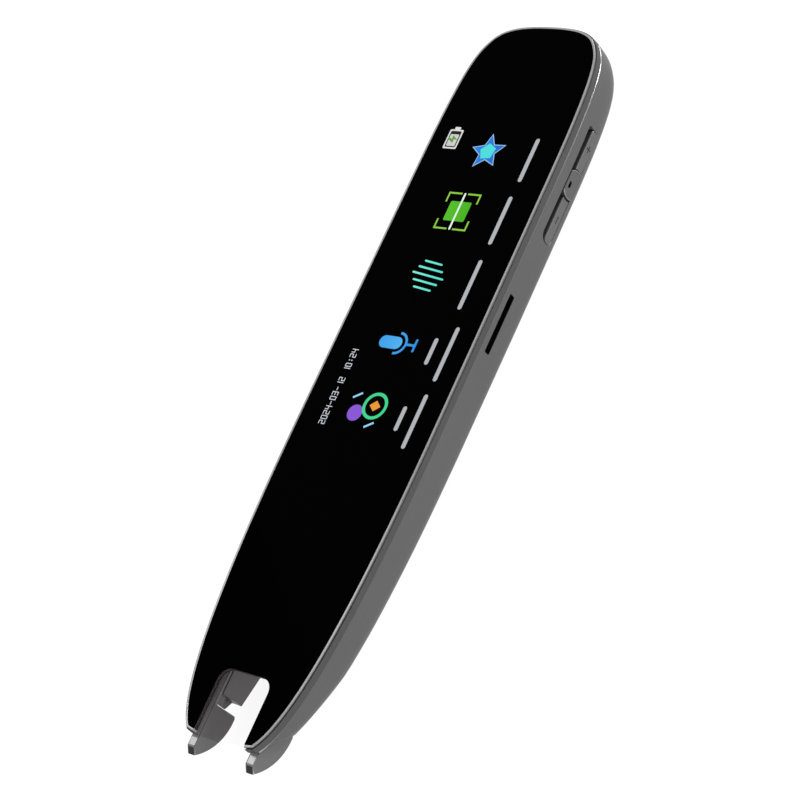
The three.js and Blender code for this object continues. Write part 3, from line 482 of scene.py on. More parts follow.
def edge_profile(radius):
    """How far in and how far on each step of a rounded edge is. A sharp edge has one step."""
    turns = [k / EDGE_STEPS * math.pi / 2 for k in range(EDGE_STEPS + 1)] if radius else [0]
    return [(radius * (1 - math.sin(t)), radius * (1 - math.cos(t))) for t in turns]


def slab(loop, way, start, end, start_edge=0, end_edge=0):
    """A plate with a closed outline, and edges rounded at its two ends."""
    sign = math.copysign(1, end - start)
    rings = [ring(inset(loop, i), way, start + sign * on) for i, on in edge_profile(start_edge)]
    rings += [ring(inset(loop, i), way, end - sign * on) for i, on in reversed(edge_profile(end_edge))]
    return shape(rings)


def pair(sizes, *levels):
    """The same plate on both sides of the pen."""
    return [slab(beside(side, *sizes), "depth", *levels) for side in SIDES]


def moulding(loop, section):
    """A strip with the same section all along an outline: how far in and how deep each of its corners is."""
    return shape([ring(inset(loop, i), "depth", d) for i, d in section], joined=True)


def cutter(loop, near=-OVERRUN, far=OVERRUN):
    """A plain block through the depth, to cut with."""
    return slab(loop, "depth", near, far)


def side_cutter(loop, inner=WALL_INSIDE, outer=WALL_OUTSIDE):
    """A plain block from side to side, to cut with."""
    return slab(loop, "side", inner, outer)


def mouth(loop, way, surface, bottom, edge):
    """What is cut away for a hole whose edge at a surface is rounded. The surface may be a function."""
    level_at = surface if callable(surface) else lambda p: surface
    sign = math.copysign(1, bottom - level_at(loop[0]))
    rings = [ring(inset(loop, -edge), way, lambda p: level_at(p) - sign * OVERRUN)]
    for i, on in edge_profile(edge):
        rings.append(ring(inset(loop, -i), way, lambda p, on=on: level_at(p) + sign * on))
    rings.append(ring(loop, way, bottom))
    return shape(rings)


def span(node, axis):
    """How far a CAD node reaches sideways ("x"), along the pen ("s") or in depth ("d")."""
    low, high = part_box(node)
    if axis == "x":
        return low.x / MM, high.x / MM
    return (TOP - high.y / MM, TOP - low.y / MM) if axis == "s" else (FACE - high.z / MM, FACE - low.z / MM)


def dress(made, name, finish, slot, *nodes, body=CASE_BODY):
    """Names a piece, gives it a finish, and says what it rides on and stands for."""
    made.name = name
    made.data.name = name
    made.data.materials.clear()
    made.data.materials.append(finishes[finish])
    made.data.shade_smooth()
    made.data.set_sharp_from_angle(angle=math.radians(SMOOTH_ANGLE))
    step = made.modifiers.new("even_normals", "WEIGHTED_NORMAL")
    step.keep_sharp = True
    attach(made, body)
    if nodes:
        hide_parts(*nodes)


# ------------ finishes

PIXELS_PER_MM = 8
PIXEL_DIM = 0.9
FADE_REACH = 5


def metal(name, colour, roughness, metallic=0.8, grain=0.5, rim=1.0):
    """Blasted and coated metal: a fine even grain, and faint larger smudges. A low rim keeps its edges dark."""
    made, shader = new_material(name)
    fine = shader.noise(9, detail=2)
    smudge = shader.noise(0.09, detail=4)
    shader.surface(
        Base_Color=shader.blend(fine * 0.6 + smudge * 0.4, *shades(colour, 0.86, 1.14)),
        Metallic=metallic,
        Specular_Tint=(rim, rim, rim, 1),
        Roughness=roughness + (smudge - 0.5) * 0.16 + (fine - 0.5) * 0.08,
        Normal=shader.bump(fine, 0.012 * grain),
    )
    return made


def polish_with_painted_highlight(name, dull, bright, bright_end, dull_start):
    """A polished edge with a painted highlight: lighter in colour and glossier at one place along the pen, and
    duller further on.
    """
    made, shader = new_material(name)
    share = shader.ramp("Y", (TOP - dull_start) * MM, (TOP - bright_end) * MM)
    smudge = shader.noise(0.09, detail=4)
    shader.surface(
        # The blend of the two colours along the pen is a painted highlight.
        Base_Color=shader.blend(share, tone(dull), tone(bright)),
        Metallic=0.6 + share * 0.25,
        Roughness=0.36 - share * 0.14 + (smudge - 0.5) * 0.1,
        Specular_Tint=(0.5, 0.5, 0.5, 1),
    )
    return made


def brushed(name, colour, roughness):
    """Metal brushed along the pen."""
    made, shader = new_material(name)
    streaks = shader.noise(1, (3.2, 0.035, 1), detail=6)
    lines = shader.noise(1, (11, 0.09, 1), detail=3)
    shader.surface(
        Base_Color=shader.blend((streaks * 0.6 + lines * 0.4 - 0.5) * 1.8 + 0.5, *shades(colour, 0.4, 1.7)),
        Metallic=0.85,
        Roughness=roughness + (lines - 0.5) * 0.25,
        Normal=shader.bump(streaks * 0.5 + lines * 0.5, 0.02),
    )
    return made


def plastic(name, colour, roughness, specular=0.5, grain=0.4):
    """Moulded plastic or rubber, with a fine grain and faint smudges."""
    made, shader = new_material(name)
    fine = shader.noise(6, detail=2)
    smudge = shader.noise(0.2, detail=3)
    shader.surface(
        Base_Color=shader.blend(smudge, *shades(colour, 0.9, 1.1)),
        Roughness=roughness + (smudge - 0.5) * 0.14,
        Specular_IOR_Level=specular,
        Normal=shader.bump(fine, 0.01 * grain),
    )
    return made


def gloss(name, colour, specular):
    """A smooth black or printed surface, with faint wipe marks in its gloss."""
    made, shader = new_material(name)
    wipe = shader.noise(0.05, (1, 2.5, 1), detail=5)
    shader.surface(Base_Color=tone(colour), Roughness=0.04 + wipe * 0.06, Specular_IOR_Level=specular)
    return made


def clear(name, colour, share):
    """Clear glass, thin enough that only its tint and gloss show."""
    made, shader = new_material(name)
    wipe = shader.noise(0.06, detail=4)
    shader.surface(Base_Color=tone(colour), Roughness=0.04 + wipe * 0.05, Alpha=share + wipe * share * 0.5)
    return made


def board_finish(name):
    """Circuit board lacquer over copper tracks."""
    made, shader = new_material(name)
    values = {"Vector": shader.place(), "Scale": 0.8 / MM}
    cells = shader.node("ShaderNodeTexVoronoi", {"feature": "DISTANCE_TO_EDGE"}, values, "Distance")
    tracks = cells > 0.06
    shader.surface(
        Base_Color=shader.blend(tracks, tone("2c6b45"), tone("16402a")),
        Roughness=0.42 + tracks * 0.12,
        Normal=shader.bump(tracks, 0.02),
    )
    return made


def lit(name, colour, far_colour):
    """A mark on the screen, lit from behind: fine pixels, and a change of colour across the pen."""
    made, shader = new_material(name)
    values = {"Vector": shader.place((1, 1, 0)), "Scale": PIXELS_PER_MM / MM}
    pixels = shader.node("ShaderNodeTexChecker", {}, values)
    share = shader.ramp("X", -FADE_REACH * MM, FADE_REACH * MM)
    grid = [shader.blend(pixels, *shades(shade, 1, PIXEL_DIM)) for shade in (colour, far_colour)]
    shader.surface(
        Base_Color=BLACK,
        Roughness=0.08,
        Specular_IOR_Level=0.02,
        Emission_Color=shader.blend(share, *grid),
        Emission_Strength=1.0,
    )
    return made


# How each finish is made: its function, its colour or colours, and the numbers that the function takes.
FINISHES = {
    "casing": (metal, "555555", 0.34, 0.6, 0.5, 0.45),
    # The lip's colour holds a painted highlight that is lighter towards the tip end; the crease line's is lighter
    # towards the top end.
    "polished": (polish_with_painted_highlight, "6e6e6f", "848485", 128, 98),
    "crease": (polish_with_painted_highlight, "555555", "7a7a7a", 14, 34),
    "bezel": (metal, "474747", 0.38, 0.6, 0.5, 0.4),
    "keys": (metal, "5c5c5c", 0.4, 0.6, 0.5, 0.45),
    "trigger": (metal, "5c5c5c", 0.36, 0.6),
    "hood": (metal, "3f3f40", 0.5, 0.5),
    "glass": (gloss, "010101", 0.001),
    "window": (clear, "604448", 0.022),
    "cut_glass": (plastic, "181818", 0.7, 0.1),
    # A lighter grey for the arms' fronts under the glass: painted light that makes up for their shade.
    "arm_painted_light": (plastic, "7c7c7c", 0.6, 0.2),
    # A darker grey: the clear pane's painted shadow on the fins' inner faces.
    "painted_pane_shadow": (plastic, "4a494b", 0.6, 0.2),
    # Near black for the painted shade on the fins' end faces.
    "painted_end_shade": (plastic, "161616", 0.5, 0.2),
    # A light metal that paints highlights: on the beads of the back and on the fronts of the fins beyond the
    # glass.
    "painted_highlight_metal": (metal, "a0a0a0", 0.3, 0.8, 0.5),
    # Near black for the card socket, and for the painted shade inside the card slot.
    "socket_black_and_painted_shade": (plastic, "030303", 0.8, 0.02),
    "black_gloss": (gloss, "020202", 0.03),
    "brushed_plate": (brushed, "767676", 0.38),
    # Chrome for the panel's trim, also used for the painted highlights on the fins' top edges.
    "bright_trim": (metal, "f2f2f2", 0.16, 1.0, 0.1),
    # Partly the mesh's own grey and partly painted light: lighter than its own, to make up for the shade in the
    # slots it is seen through.
    "speaker_mesh": (metal, "b8b8b8", 0.5, 0.4, 2),
    # Black rubber for real seals and the signs' paint, and also the painted shade of the dark skirts, liner,
    # strips and lines.
    "rubber": (plastic, "1b1b1b", 0.85, 0.3, 2),
    "black_plastic": (plastic, "151515", 0.5),
    "cone": (plastic, "303030", 0.75, 0.3, 2),
    "steel": (metal, "b9bbbd", 0.3, 1.0, 0.4),
    "gold": (metal, "d8b25a", 0.25, 1.0, 0.2),
    "screws": (metal, "9a9ca0", 0.33, 1.0, 0.4),
    "display": (gloss, "101214", 0.4),
    "backlight": (metal, "b9bcc0", 0.35, 0.9, 0.4),
    "ribbon": (plastic, "b0702a", 0.45),
    "circuit_board": (board_finish,),
    "chips": (plastic, "1c1d1f", 0.45),
    "white_plastic": (plastic, "e9e7e0", 0.4),
    "cell": (metal, "9fa6ad", 0.42, 0.6, 1.5),
    "lens": (gloss, "0b0d12", 0.5),
    "lamps": (plastic, "f4f1dc", 0.3),
}
finishes = {name: make(name + "_finish", *values) for name, (make, *values) in FINISHES.items()}

# ------------ front: glass, window and bezel

GLASS_INSET = 0.88
GLASS_THICKNESS = 1.0
GLASS_EDGE = 0.12
WINDOW_HALF = 6.2
WINDOW_TOP = 139.7
WINDOW_CORNER = 2.5
PARTING = 0.01
CUT_WALL = 0.07
CUT_WALL_START = 0.06
CUT_WALL_END = 0.72
CUT_WALL_INSET = 0.1

window_loop = centred(WINDOW_HALF, WINDOW_TOP, PAST_END, WINDOW_CORNER)
glass_loop = inset(case_loop, GLASS_INSET)

black = slab(glass_loop, "depth", 0, GLASS_THICKNESS, GLASS_EDGE)
dress(cut(black, cutter(window_loop)), "printed_glass", "glass", "glass", "front_glass")
pane = slab(glass_loop, "depth", 0, GLASS_THICKNESS, GLASS_EDGE)
pane = common(pane, cutter(inset(window_loop, CUT_WALL + PARTING)))
dress(pane, "clear_window", "window", "glass", "front_glass")
wall = slab(inset(window_loop, PARTING), "depth", CUT_WALL_START, CUT_WALL_END)
wall = cut(wall, cutter(inset(window_loop, CUT_WALL)))
wall = common(wall, cutter(inset(glass_loop, CUT_WALL_INSET)))
dress(wall, "window_cut_wall", "cut_glass", "glass", "front_glass")

# Sections of the lip, which is polished and carries a painted highlight, and of the bezel: how far in from the
# outline, and how deep.
LIP_SECTION = [(0.84, 1.1), (0.84, 0.08), (0.8, 0.01), (0.75, 0), (0.46, 0), (0.42, 0.03), (0.4, 0.1), (0.4, 1.1)]
BEZEL_SECTION = [
    (0.83, 1.15), (0.39, 1.15), (0.39, 0.85), (0.22, 0.85), (0.22, 0.46), (0.2, 0.41), (0.17, 0.42), (0.14, 0.5),
    (0.05, 1.5), (0.02, 1.62), (0.03, 1.68), (0.09, 1.72), (1.4, 1.72), (1.4, 1.95), (2.4, 1.95), (2.4, 1.15),
]
HOOD_WALL_END = 143.9
FIN_ROOM = 8.5
LEDGE_FRONT = 1.12
LEDGE_INSET = 0.45
GATE_GAP = 0.1

gate_loop = centred(WINDOW_HALF + GATE_GAP, HOOD_WALL_END, PAST_END, CORNER)
ledge_end = common(
    cutter(centred(FIN_ROOM, HOOD_WALL_END, PAST_END, CORNER), LEDGE_FRONT),
    cutter(inset(case_loop, LEDGE_INSET), LEDGE_FRONT - MARGIN, OVERRUN + MARGIN),
)
bezel = cut(moulding(case_loop, BEZEL_SECTION), cutter(gate_loop), ledge_end)
dress(bezel, "glass_bezel", "bezel", "casing", "front_frame")
# The polished lip's lighter colour is a painted highlight, lightest towards the tip end.
lip = cut(moulding(case_loop, LIP_SECTION), cutter(gate_loop))
dress(lip, "bezel_lip", "polished", "casing", "front_frame")

# ------------ marks on the screen

MARK_RISE = 0.012
MARK_SINK = 0.05
ARC_STEPS = 24
STAR_TURN = 79
LEAN = 0.12


def mark(name, colour, outlines, layer=1, far_colour=None):
    """One mark made of several closed outlines. A later layer lies over an earlier one."""
    rise = MARK_RISE * layer
    finishes[name] = lit(name + "_light", colour, far_colour or colour)
    made = gathered([slab(outline, "depth", -rise, MARK_SINK) for outline in outlines])
    dress(made, name, name, "display")


def upright(x, s, points):
    """Points of a sign as it reads, across and up, put on a screen whose signs run towards the top end."""
    return [Vector((x - up, s - across)) for across, up in points]


def bar(x, s, a0, a1, u0, u1, radius=0.2):
    """A bar of a sign, given across and up from the sign's centre."""
    return rounded(x - u1, x - u0, s - a1, s - a0, radius)


def leaning(centre, loop):
    """An outline that leans a little along the pen."""
    return [Vector((p.x, p.y + LEAN * (p.x - centre[0]))) for p in loop]


def dash(centre, across, up):
    """A short slanted stroke of a sign."""
    half, side = Vector((0.6, -0.92)), Vector((0.17, 0.11))
    corners = (half + side, half - side, -half - side, side - half)
    return upright(*centre, [(across + c.x, up + c.y) for c in corners])


def arc(x, s, radius, width, start, end):
    """A stroke along an arc, its angles in degrees from across towards up."""
    turns = [math.radians(start + (end - start) * k / ARC_STEPS) for k in range(ARC_STEPS + 1)]
    outer = [(radius * math.cos(t), radius * math.sin(t)) for t in turns]
    inner = [((radius - width) * math.cos(t), (radius - width) * math.sin(t)) for t in reversed(turns)]
    return upright(x, s, outer + inner)


def star(x, s, radius, waist):
    spikes = [(radius if k % 2 == 0 else radius * waist, math.radians(STAR_TURN + 36 * k)) for k in range(10)]
    return upright(x, s, [(r * math.cos(t), r * math.sin(t)) for r, t in spikes])


BATTERY = (-10.3, 27.3)
BOLT = [(-0.1, 1.25), (-1.0, -0.2), (-0.1, -0.2), (-0.35, -1.25), (0.75, 0.3), (-0.1, 0.3), (0.3, 1.25)]
mark("battery_outline", "e2e4e2", [bar(*BATTERY, -2.3, 2.1, -1.65, 1.65, 0.3), bar(*BATTERY, 2.1, 2.7, -0.7, 0.7)])
mark("battery_inside", "141814", [bar(*BATTERY, -1.95, 1.75, -1.3, 1.3, 0.3)], 2)
mark("battery_charge", "cfd4cc", [bar(*BATTERY, -1.7, 1.0, -1.05, 1.05)], 3)
mark("battery_bolt", "6a9c48", [upright(*BATTERY, BOLT)], 4)

STAR = (-0.75, 29.6)
mark("star_edge", "9cc8f4", [star(*STAR, 4.1, 0.47)])
mark("star_face", "2a8ae6", [star(*STAR, 3.7, 0.46)], 2, "1560c8")
mark("star_centre", "4fe0e0", [star(*STAR, 1.9, 0.8)], 3)

FINDER = (-1.3, 43.2)
FINDER_CORNER = [(-4.1, 3.9), (-4.1, 0.7), (-3.74, 0.7), (-3.74, 3.54), (-1.9, 3.54), (-1.9, 3.9)]
mark("finder_corners", "8fd040", [
    upright(*FINDER, [(across * side, up * level) for across, up in FINDER_CORNER])
    for side in SIDES for level in SIDES
])
mark("finder_square", "58c428", [bar(*FINDER, -2.15, 2.15, -2.5, 2.5, 0.3)], 1, "3cab10")
mark("finder_line", "f0fff0", [bar(*FINDER, -4.1, 4.1, -0.2, 0.2)], 2)

SOUND = (-1.2, 57.5)
WAVE_PITCH = 1.42
WAVE_HALF = 3.95
WAVE_BAR_HALF = 0.2
WAVE_SHARES = [0.57, 0.79, 1, 0.79, 0.57]
waves = []
for i, share in enumerate(WAVE_SHARES):
    across = (len(WAVE_SHARES) // 2 - i) * WAVE_PITCH
    high = WAVE_HALF * share
    waves.append(leaning(SOUND, bar(*SOUND, across - WAVE_BAR_HALF, across + WAVE_BAR_HALF, -high, high)))
mark("sound_bars", "80f5e0", waves, 1, "38dcc4")

VOICE = (-1.1, 72.2)
voice_stand = [
    arc(*VOICE, 2.4, 0.5, 180, 360),
    bar(*VOICE, -0.25, 0.25, -4.2, -2.2, 0.05),
    bar(*VOICE, -1.4, 1.4, -4.6, -4.1, 0.25),
]
mark("voice_capsule", "3ea2ee", [bar(*VOICE, -1.3, 1.3, -1.2, 4.2, 1.3)], 1, "5cc4fa")
mark("voice_stand", "48b0f6", voice_stand, 1, "2a8ae4")

DIAL = (0.6, 85.4)
DIAL_DISC = (-3.3, 87.4)
mark("dial_disc", "8a58d8", [circle(*DIAL_DISC, 1.7, ARC_STEPS)])
mark("dial_ring", "40d890", [arc(*DIAL, 2.8, 0.65, start, start + 180) for start in (0, 180)], 2)
mark("dial_heart", "f09a30", [upright(*DIAL, [(0, 1.3), (1.1, 0), (0, -1.3), (-1.1, 0)])], 2)
mark("dial_dashes", "9fd8ff", [dash(DIAL, 1.55, 5.0), dash(DIAL, -3.9, -0.5)])

# The plain bars beside the signs: how far across each lies, and where it starts and ends.
LABEL_HALF = 0.45
LABELS = [
    (9.7, 35.6, 25.9), (9.5, 49.5, 38.9), (9.3, 63.6, 52.9), (7.5, 75.6, 70.0), (11.1, 78.6, 67.2),
    (7.5, 89.5, 84.4), (10.9, 92.6, 81.4),
]
labels = [rounded(x - LABEL_HALF, x + LABEL_HALF, end, start, LABEL_HALF) for x, start, end in LABELS]
mark("label_bars", "b4b7bb", labels)

# A digit's strokes: where each of the seven lies, and which ones a figure uses.
STROKE_PLACES = {
    "top": (0, 1, 1, 1), "middle": (0, 0.5, 1, 0.5), "bottom": (0, 0, 1, 0), "upper_left": (0, 0.5, 0, 1),
    "upper_right": (1, 0.5, 1, 1), "lower_left": (0, 0, 0, 0.5), "lower_right": (1, 0, 1, 0.5),
}
DIGIT_STROKES = {
    "0": "top bottom upper_left upper_right lower_left lower_right", "1": "upper_right lower_right",
    "2": "top middle bottom upper_right lower_left", "3": "top middle bottom upper_right lower_right",
    "4": "middle upper_left upper_right lower_right", "-": "middle",
}
CLOCK = (-9.15, 90.7)
FIGURES = "2024-03-12 10:24"
DIGIT_HIGH = 1.35
DIGIT_WIDE = 0.62
DIGIT_STEP = 1.02
STROKE_HALF = 0.08
COLON_LEFT = 0.2
COLON_RIGHT = 0.45
COLON_RISES = ((0.3, 0.55), (0.9, 1.15))
clock_strokes = []
for i, figure in enumerate(FIGURES):
    left = i * DIGIT_STEP
    if figure == ":":
        dots = [bar(*CLOCK, left + COLON_LEFT, left + COLON_RIGHT, *rise, CORNER) for rise in COLON_RISES]
        clock_strokes += dots
    for stroke in DIGIT_STROKES.get(figure, "").split():
        a0, u0, a1, u1 = STROKE_PLACES[stroke]
        clock_strokes.append(bar(
            *CLOCK, left + a0 * DIGIT_WIDE - STROKE_HALF, left + a1 * DIGIT_WIDE + STROKE_HALF,
            u0 * DIGIT_HIGH - STROKE_HALF, u1 * DIGIT_HIGH + STROKE_HALF, STROKE_HALF,
        ))
mark("clock_figures", "d4dae0", clock_strokes)

# ------------ rear shell

SECTION_STEPS = 14
SLOPE_START = 126.4
SLOPE_DROP = 3.9
SLOPE_RUN = 17.5
ISLAND_DEPTH = 12.65
WALL = 1.3
BACK_WALL = 1.9
ISLAND_WALL = 1.2
SHELL_FRONT = 1.75
RECESS_DEPTH = 12.3
STRAIGHT_DEPTH = 4.1
STRAIGHT_DROP = 2.2
LEG_ROUND = 3.8
FULLEST = 2.4
FULL_END = 60
SLIMMEST = 1.85
SLIM_START = 145


def slope_at(s):
    return max(0, s - SLOPE_START) / SLOPE_RUN


def back_depth(s):
    return min(ISLAND_DEPTH, THICKNESS - SLOPE_DROP * slope_at(s))


def inner_back_depth(s):
    return THICKNESS - SLOPE_DROP * slope_at(s) - BACK_WALL + min(1, slope_at(s)) * (BACK_WALL - WALL)


def straight_depth(s):
    """How deep the straight part of the side wall reaches."""
    return STRAIGHT_DEPTH - STRAIGHT_DROP * max(0, s - SLOPE_START) / (CASE_LENGTH - SLOPE_START)


def fullness(s):
    """How square the round of the side is: 2 is an ellipse, and more is squarer."""
    return FULLEST - (FULLEST - SLIMMEST) * min(1, max(0, (s - FULL_END) / (SLIM_START - FULL_END)))


def wall_side(p):
    """How far out the key side's wall is, at a point given along the pen and in depth."""
    share = (p.y - STRAIGHT_DEPTH) / (ISLAND_DEPTH - STRAIGHT_DEPTH)
    full = fullness(p.x)
    reach = max(0, 1 - max(0, share) ** full) ** (1 / full)
    return ISLAND_HALF_WIDTH + (HALF_WIDTH - ISLAND_HALF_WIDTH) * reach


def case_shape(outline, crest, front, depth_at, edge=0):
    """A solid case: its front edge, straight walls, and rounds that rise to the crest and flatten at the legs."""
    rings = [ring(inset(outline, i), "depth", front + on) for i, on in edge_profile(edge)]
    for step in range(SECTION_STEPS + 1):
        share = step / SECTION_STEPS
        turn = share * math.pi / 2
        places = []
        for side, top in zip(outline, crest):
            flat = min(1, max(0, (side.y - CASE_LENGTH + LEG_ROUND) / LEG_ROUND))
            power = 2 / fullness(side.y)
            over = (1 - flat) * (1 - max(0, math.cos(turn)) ** power) + flat * share
            rise = (1 - flat) * math.sin(turn) ** power + flat * share
            low, high = straight_depth(side.y), depth_at(top.y)
            spot = side.lerp(top, over)
            places.append((spot.x, spot.y, low + (high - low) * rise))
        rings.append(places)
    return shape(rings, strips=True)


INLAY_TOP = ISLAND_TOP + 3.2
INLAY_END = SLOPE_START - 1.8
INLAY_HALF = 9.3
INLAY_TOP_HALF = 8.7
INLAY_TURN = 95
INLAY_TOP_RUN = 9.3
INLAY_SIDE = ((INLAY_TOP_HALF, 34), (INLAY_HALF, 56), (INLAY_HALF, INLAY_TURN))
INLAY_TOP_SHARES = [(0.48, 0), (0.76, 0.065), (0.885, 0.25), (0.965, 0.4), (1, 0.62), (1, 1)]
INLAY_END_SHARES = [(1, 0.3), (0.957, 0.54), (0.86, 0.72), (0.753, 0.9), (0.624, 1), (0.398, 1)]

inlay_line = curved(begun(0, INLAY_TOP), INLAY_TOP_SHARES, INLAY_TOP_HALF, INLAY_TOP, INLAY_TOP_RUN)
for x, s in INLAY_SIDE:
    inlay_line = straight(inlay_line, x, s, 2)
inlay_line = curved(inlay_line, INLAY_END_SHARES, INLAY_HALF, INLAY_TURN, INLAY_END - INLAY_TURN)
inlay_line = straight(inlay_line, 0, INLAY_END)
inlay_loop = whole(inlay_line)

CREASE_EDGE = 0.28
CREASE_PROUD = 0.02
CREASE_ROOT = 0.1
OPENING_HALF = 6.2
OPENING_TOP = 135.6
OPENING_CORNER = 1.24
OPENING_EDGE = 0.15
HOOD_WALL = 0.7
HOOD_WALL_START = 134.6
HOOD_WALL_NEAR = 3.2
HOLLOW_END = 141.0
RUN_START = HOLLOW_END - 0.3
FIN_INNER = 6.2
FIN_OUTER = 8.2
FIN_GATE = FIN_OUTER + 0.25
ARM_FAR = 5.5
ARM_ROOM = 0.3
CHANNEL_EDGE = 0.09
CARD_EDGE = 0.05
INLAY_EDGE = 0.05
SOCKET_CORNER = 2
SOCKET_GAP = 0.3
SOCKET_ROOM = 8
SOCKET_EDGE = 0.1

# Plates seen from the key side: start, end, near and far depth, corner radius, and that at the start.
CHANNEL = (19.3, 44.5, 4.4, 8.3, 1.75, 0.5)
CARD_SLOT = (57.4, 69.75, 3.12, 4.62, 0.3)

shell = case_shape(case_loop, crest_loop, SHELL_FRONT, back_depth, CREASE_EDGE)
hollow = case_shape(inset(case_loop, WALL), inset(crest_loop, ISLAND_WALL), -OVERRUN, inner_back_depth)
hollow = common(hollow, cutter(centred(HALF_WIDTH, -OVERRUN, HOLLOW_END, CORNER), -OVERRUN * 2, THICKNESS))
wall_sizes = (OPENING_HALF, OPENING_HALF + HOOD_WALL, HOOD_WALL_START, HOOD_WALL_END, FINE_CORNER)
hollow = cut(hollow, *pair(wall_sizes, HOOD_WALL_NEAR, THICKNESS))
run_sizes = (OPENING_HALF + HOOD_WALL, FIN_GATE, RUN_START, LENGTH, FINE_CORNER)
opening_loop = centred(OPENING_HALF, OPENING_TOP, PAST_END, OPENING_CORNER)
fin_gate_loop = centred(FIN_GATE, HOOD_WALL_END, PAST_END, FINE_CORNER)
card_loop = rounded(*CARD_SLOT)
socket_loop = rounded(*span("inlet_socket", "x"), *span("inlet_socket", "d"), SOCKET_CORNER)
shell = cut(shell, hollow)
shell = cut(
    shell,
    mouth(opening_loop, "depth", lambda p: back_depth(p.y), 0, OPENING_EDGE),
    cutter(fin_gate_loop, far=THICKNESS + OVERRUN),
    cutter(centred(FIN_GATE, RUN_START, LENGTH, FINE_CORNER), far=HOOD_WALL_NEAR),
    *pair(run_sizes, -OVERRUN, ARM_FAR + ARM_ROOM),
    mouth(rounded(*CHANNEL), "side", wall_side, WALL_INSIDE, CHANNEL_EDGE),
    mouth(card_loop, "side", wall_side, WALL_INSIDE, CARD_EDGE),
    mouth(inlay_loop, "depth", ISLAND_DEPTH, RECESS_DEPTH, INLAY_EDGE),
)
shell = cut(shell, mouth(inset(socket_loop, -SOCKET_GAP), "along", 0, SOCKET_ROOM, SOCKET_EDGE))
dress(shell, "rear_case", "casing", "casing", "rear_shell")

# The crease line's colour is a painted highlight, lighter towards the top end.
crease_section = [(i - CREASE_PROUD, SHELL_FRONT + on - CREASE_PROUD) for i, on in edge_profile(CREASE_EDGE)]
crease_section += [(CREASE_EDGE, SHELL_FRONT + CREASE_EDGE), (CREASE_EDGE + CREASE_ROOT, SHELL_FRONT)]
crease = cut(moulding(case_loop, crease_section), cutter(fin_gate_loop))
dress(crease, "crease_line", "crease", "casing", "rear_shell")

# The near-black sleeve on the card slot's walls is painted shade.
SLEEVE_ROOT = 14.9
SLEEVE_DROP = 0.06
SLEEVE_GAP = 0.01
SLEEVE_SHEET = 0.08
sleeve_ends = (SLEEVE_ROOT, lambda p: wall_side(p) - SLEEVE_DROP)
sleeve = shape([ring(inset(card_loop, SLEEVE_GAP), "side", level) for level in sleeve_ends])
sleeve = cut(sleeve, side_cutter(inset(card_loop, SLEEVE_SHEET)))
dress(sleeve, "card_slot_painted_shade_sleeve", "socket_black_and_painted_shade", "black_plastic")

# ------------ raised rim of the back, and the opening's bead

RIM_TURN = 108
RIM_END = SLOPE_START + 0.3
RIM_END_SHARES = [(1, 0.35), (0.97, 0.62), (0.86, 0.8), (0.76, 0.95), (0.6, 1), (0.35, 1)]
RIM_POINTS = 240
RIM_INSET = 0.34

# Sections: how far in each corner is, and how deep, or for the opening how far above the case's back.
BEAD_SECTION = [(-0.14, 12.5), (-0.14, 12.7), (-0.08, 12.8), (0, 12.83), (0.08, 12.8), (0.12, 12.7), (0.12, 12.5)]
SEAM_SECTION = [(0.1, 12.5), (0.1, 12.69), (0.37, 12.69), (0.37, 12.5)]
OPENING_SECTION = [(0, -0.1), (0, 0.02), (0.05, 0.07), (0.13, 0.07), (0.18, 0.02), (0.18, -0.1)]

# Shares of the way in from the seam to the inlay, and of the rise from the recess to the island's full height.
RIM_SECTION = [
    (0, 0.1), (0, 0.68), (0.03, 0.74), (0.3, 0.86), (0.6, 0.96), (0.9, 1), (0.97, 0.98), (1, 0.9), (1, 0.1),
]

rim_line = [p for p in crest_line if p.y <= RIM_TURN]
turn_x, turn_s = rim_line[-1]
rim_line = curved(rim_line, RIM_END_SHARES, turn_x, turn_s, RIM_END - turn_s)
rim_line = straight(rim_line, 0, RIM_END)
bead_loop = resampled(whole(rim_line), RIM_POINTS)
rim_outer = inset(bead_loop, RIM_INSET)
rim_inner = resampled(inlay_loop, RIM_POINTS)

# The bead along the crest is light metal: a painted highlight on the crest's edge.
dress(moulding(bead_loop, BEAD_SECTION), "crest_painted_highlight_bead", "painted_highlight_metal", "casing", "rear_shell")
# The dark strip just inside the crest is painted shade.
dress(moulding(bead_loop, SEAM_SECTION), "crest_painted_shade_strip", "rubber", "rubber")
rim_rings = [
    ring([a.lerp(b, over) for a, b in zip(rim_outer, rim_inner)], "depth",
         RECESS_DEPTH + (THICKNESS - RECESS_DEPTH) * rise)
    for over, rise in RIM_SECTION
]
dress(shape(rim_rings, joined=True), "island_rim", "casing", "casing", "rear_shell")

# The opening's bead is light metal too: a painted highlight round the opening.
COLLAR = (7.05, 134.4, PAST_END, 2.2)
COLLAR_KEPT = (9, 130, 140.4, CORNER)
collar_section = [(i, lambda p, up=up: back_depth(p.y) + up) for i, up in OPENING_SECTION]
collar = moulding(centred(*COLLAR), collar_section)
collar = common(collar, cutter(centred(*COLLAR_KEPT), 0, THICKNESS + MARGIN))
dress(collar, "opening_painted_highlight_bead", "painted_highlight_metal", "casing", "rear_shell")

# ------------ inlays of the back

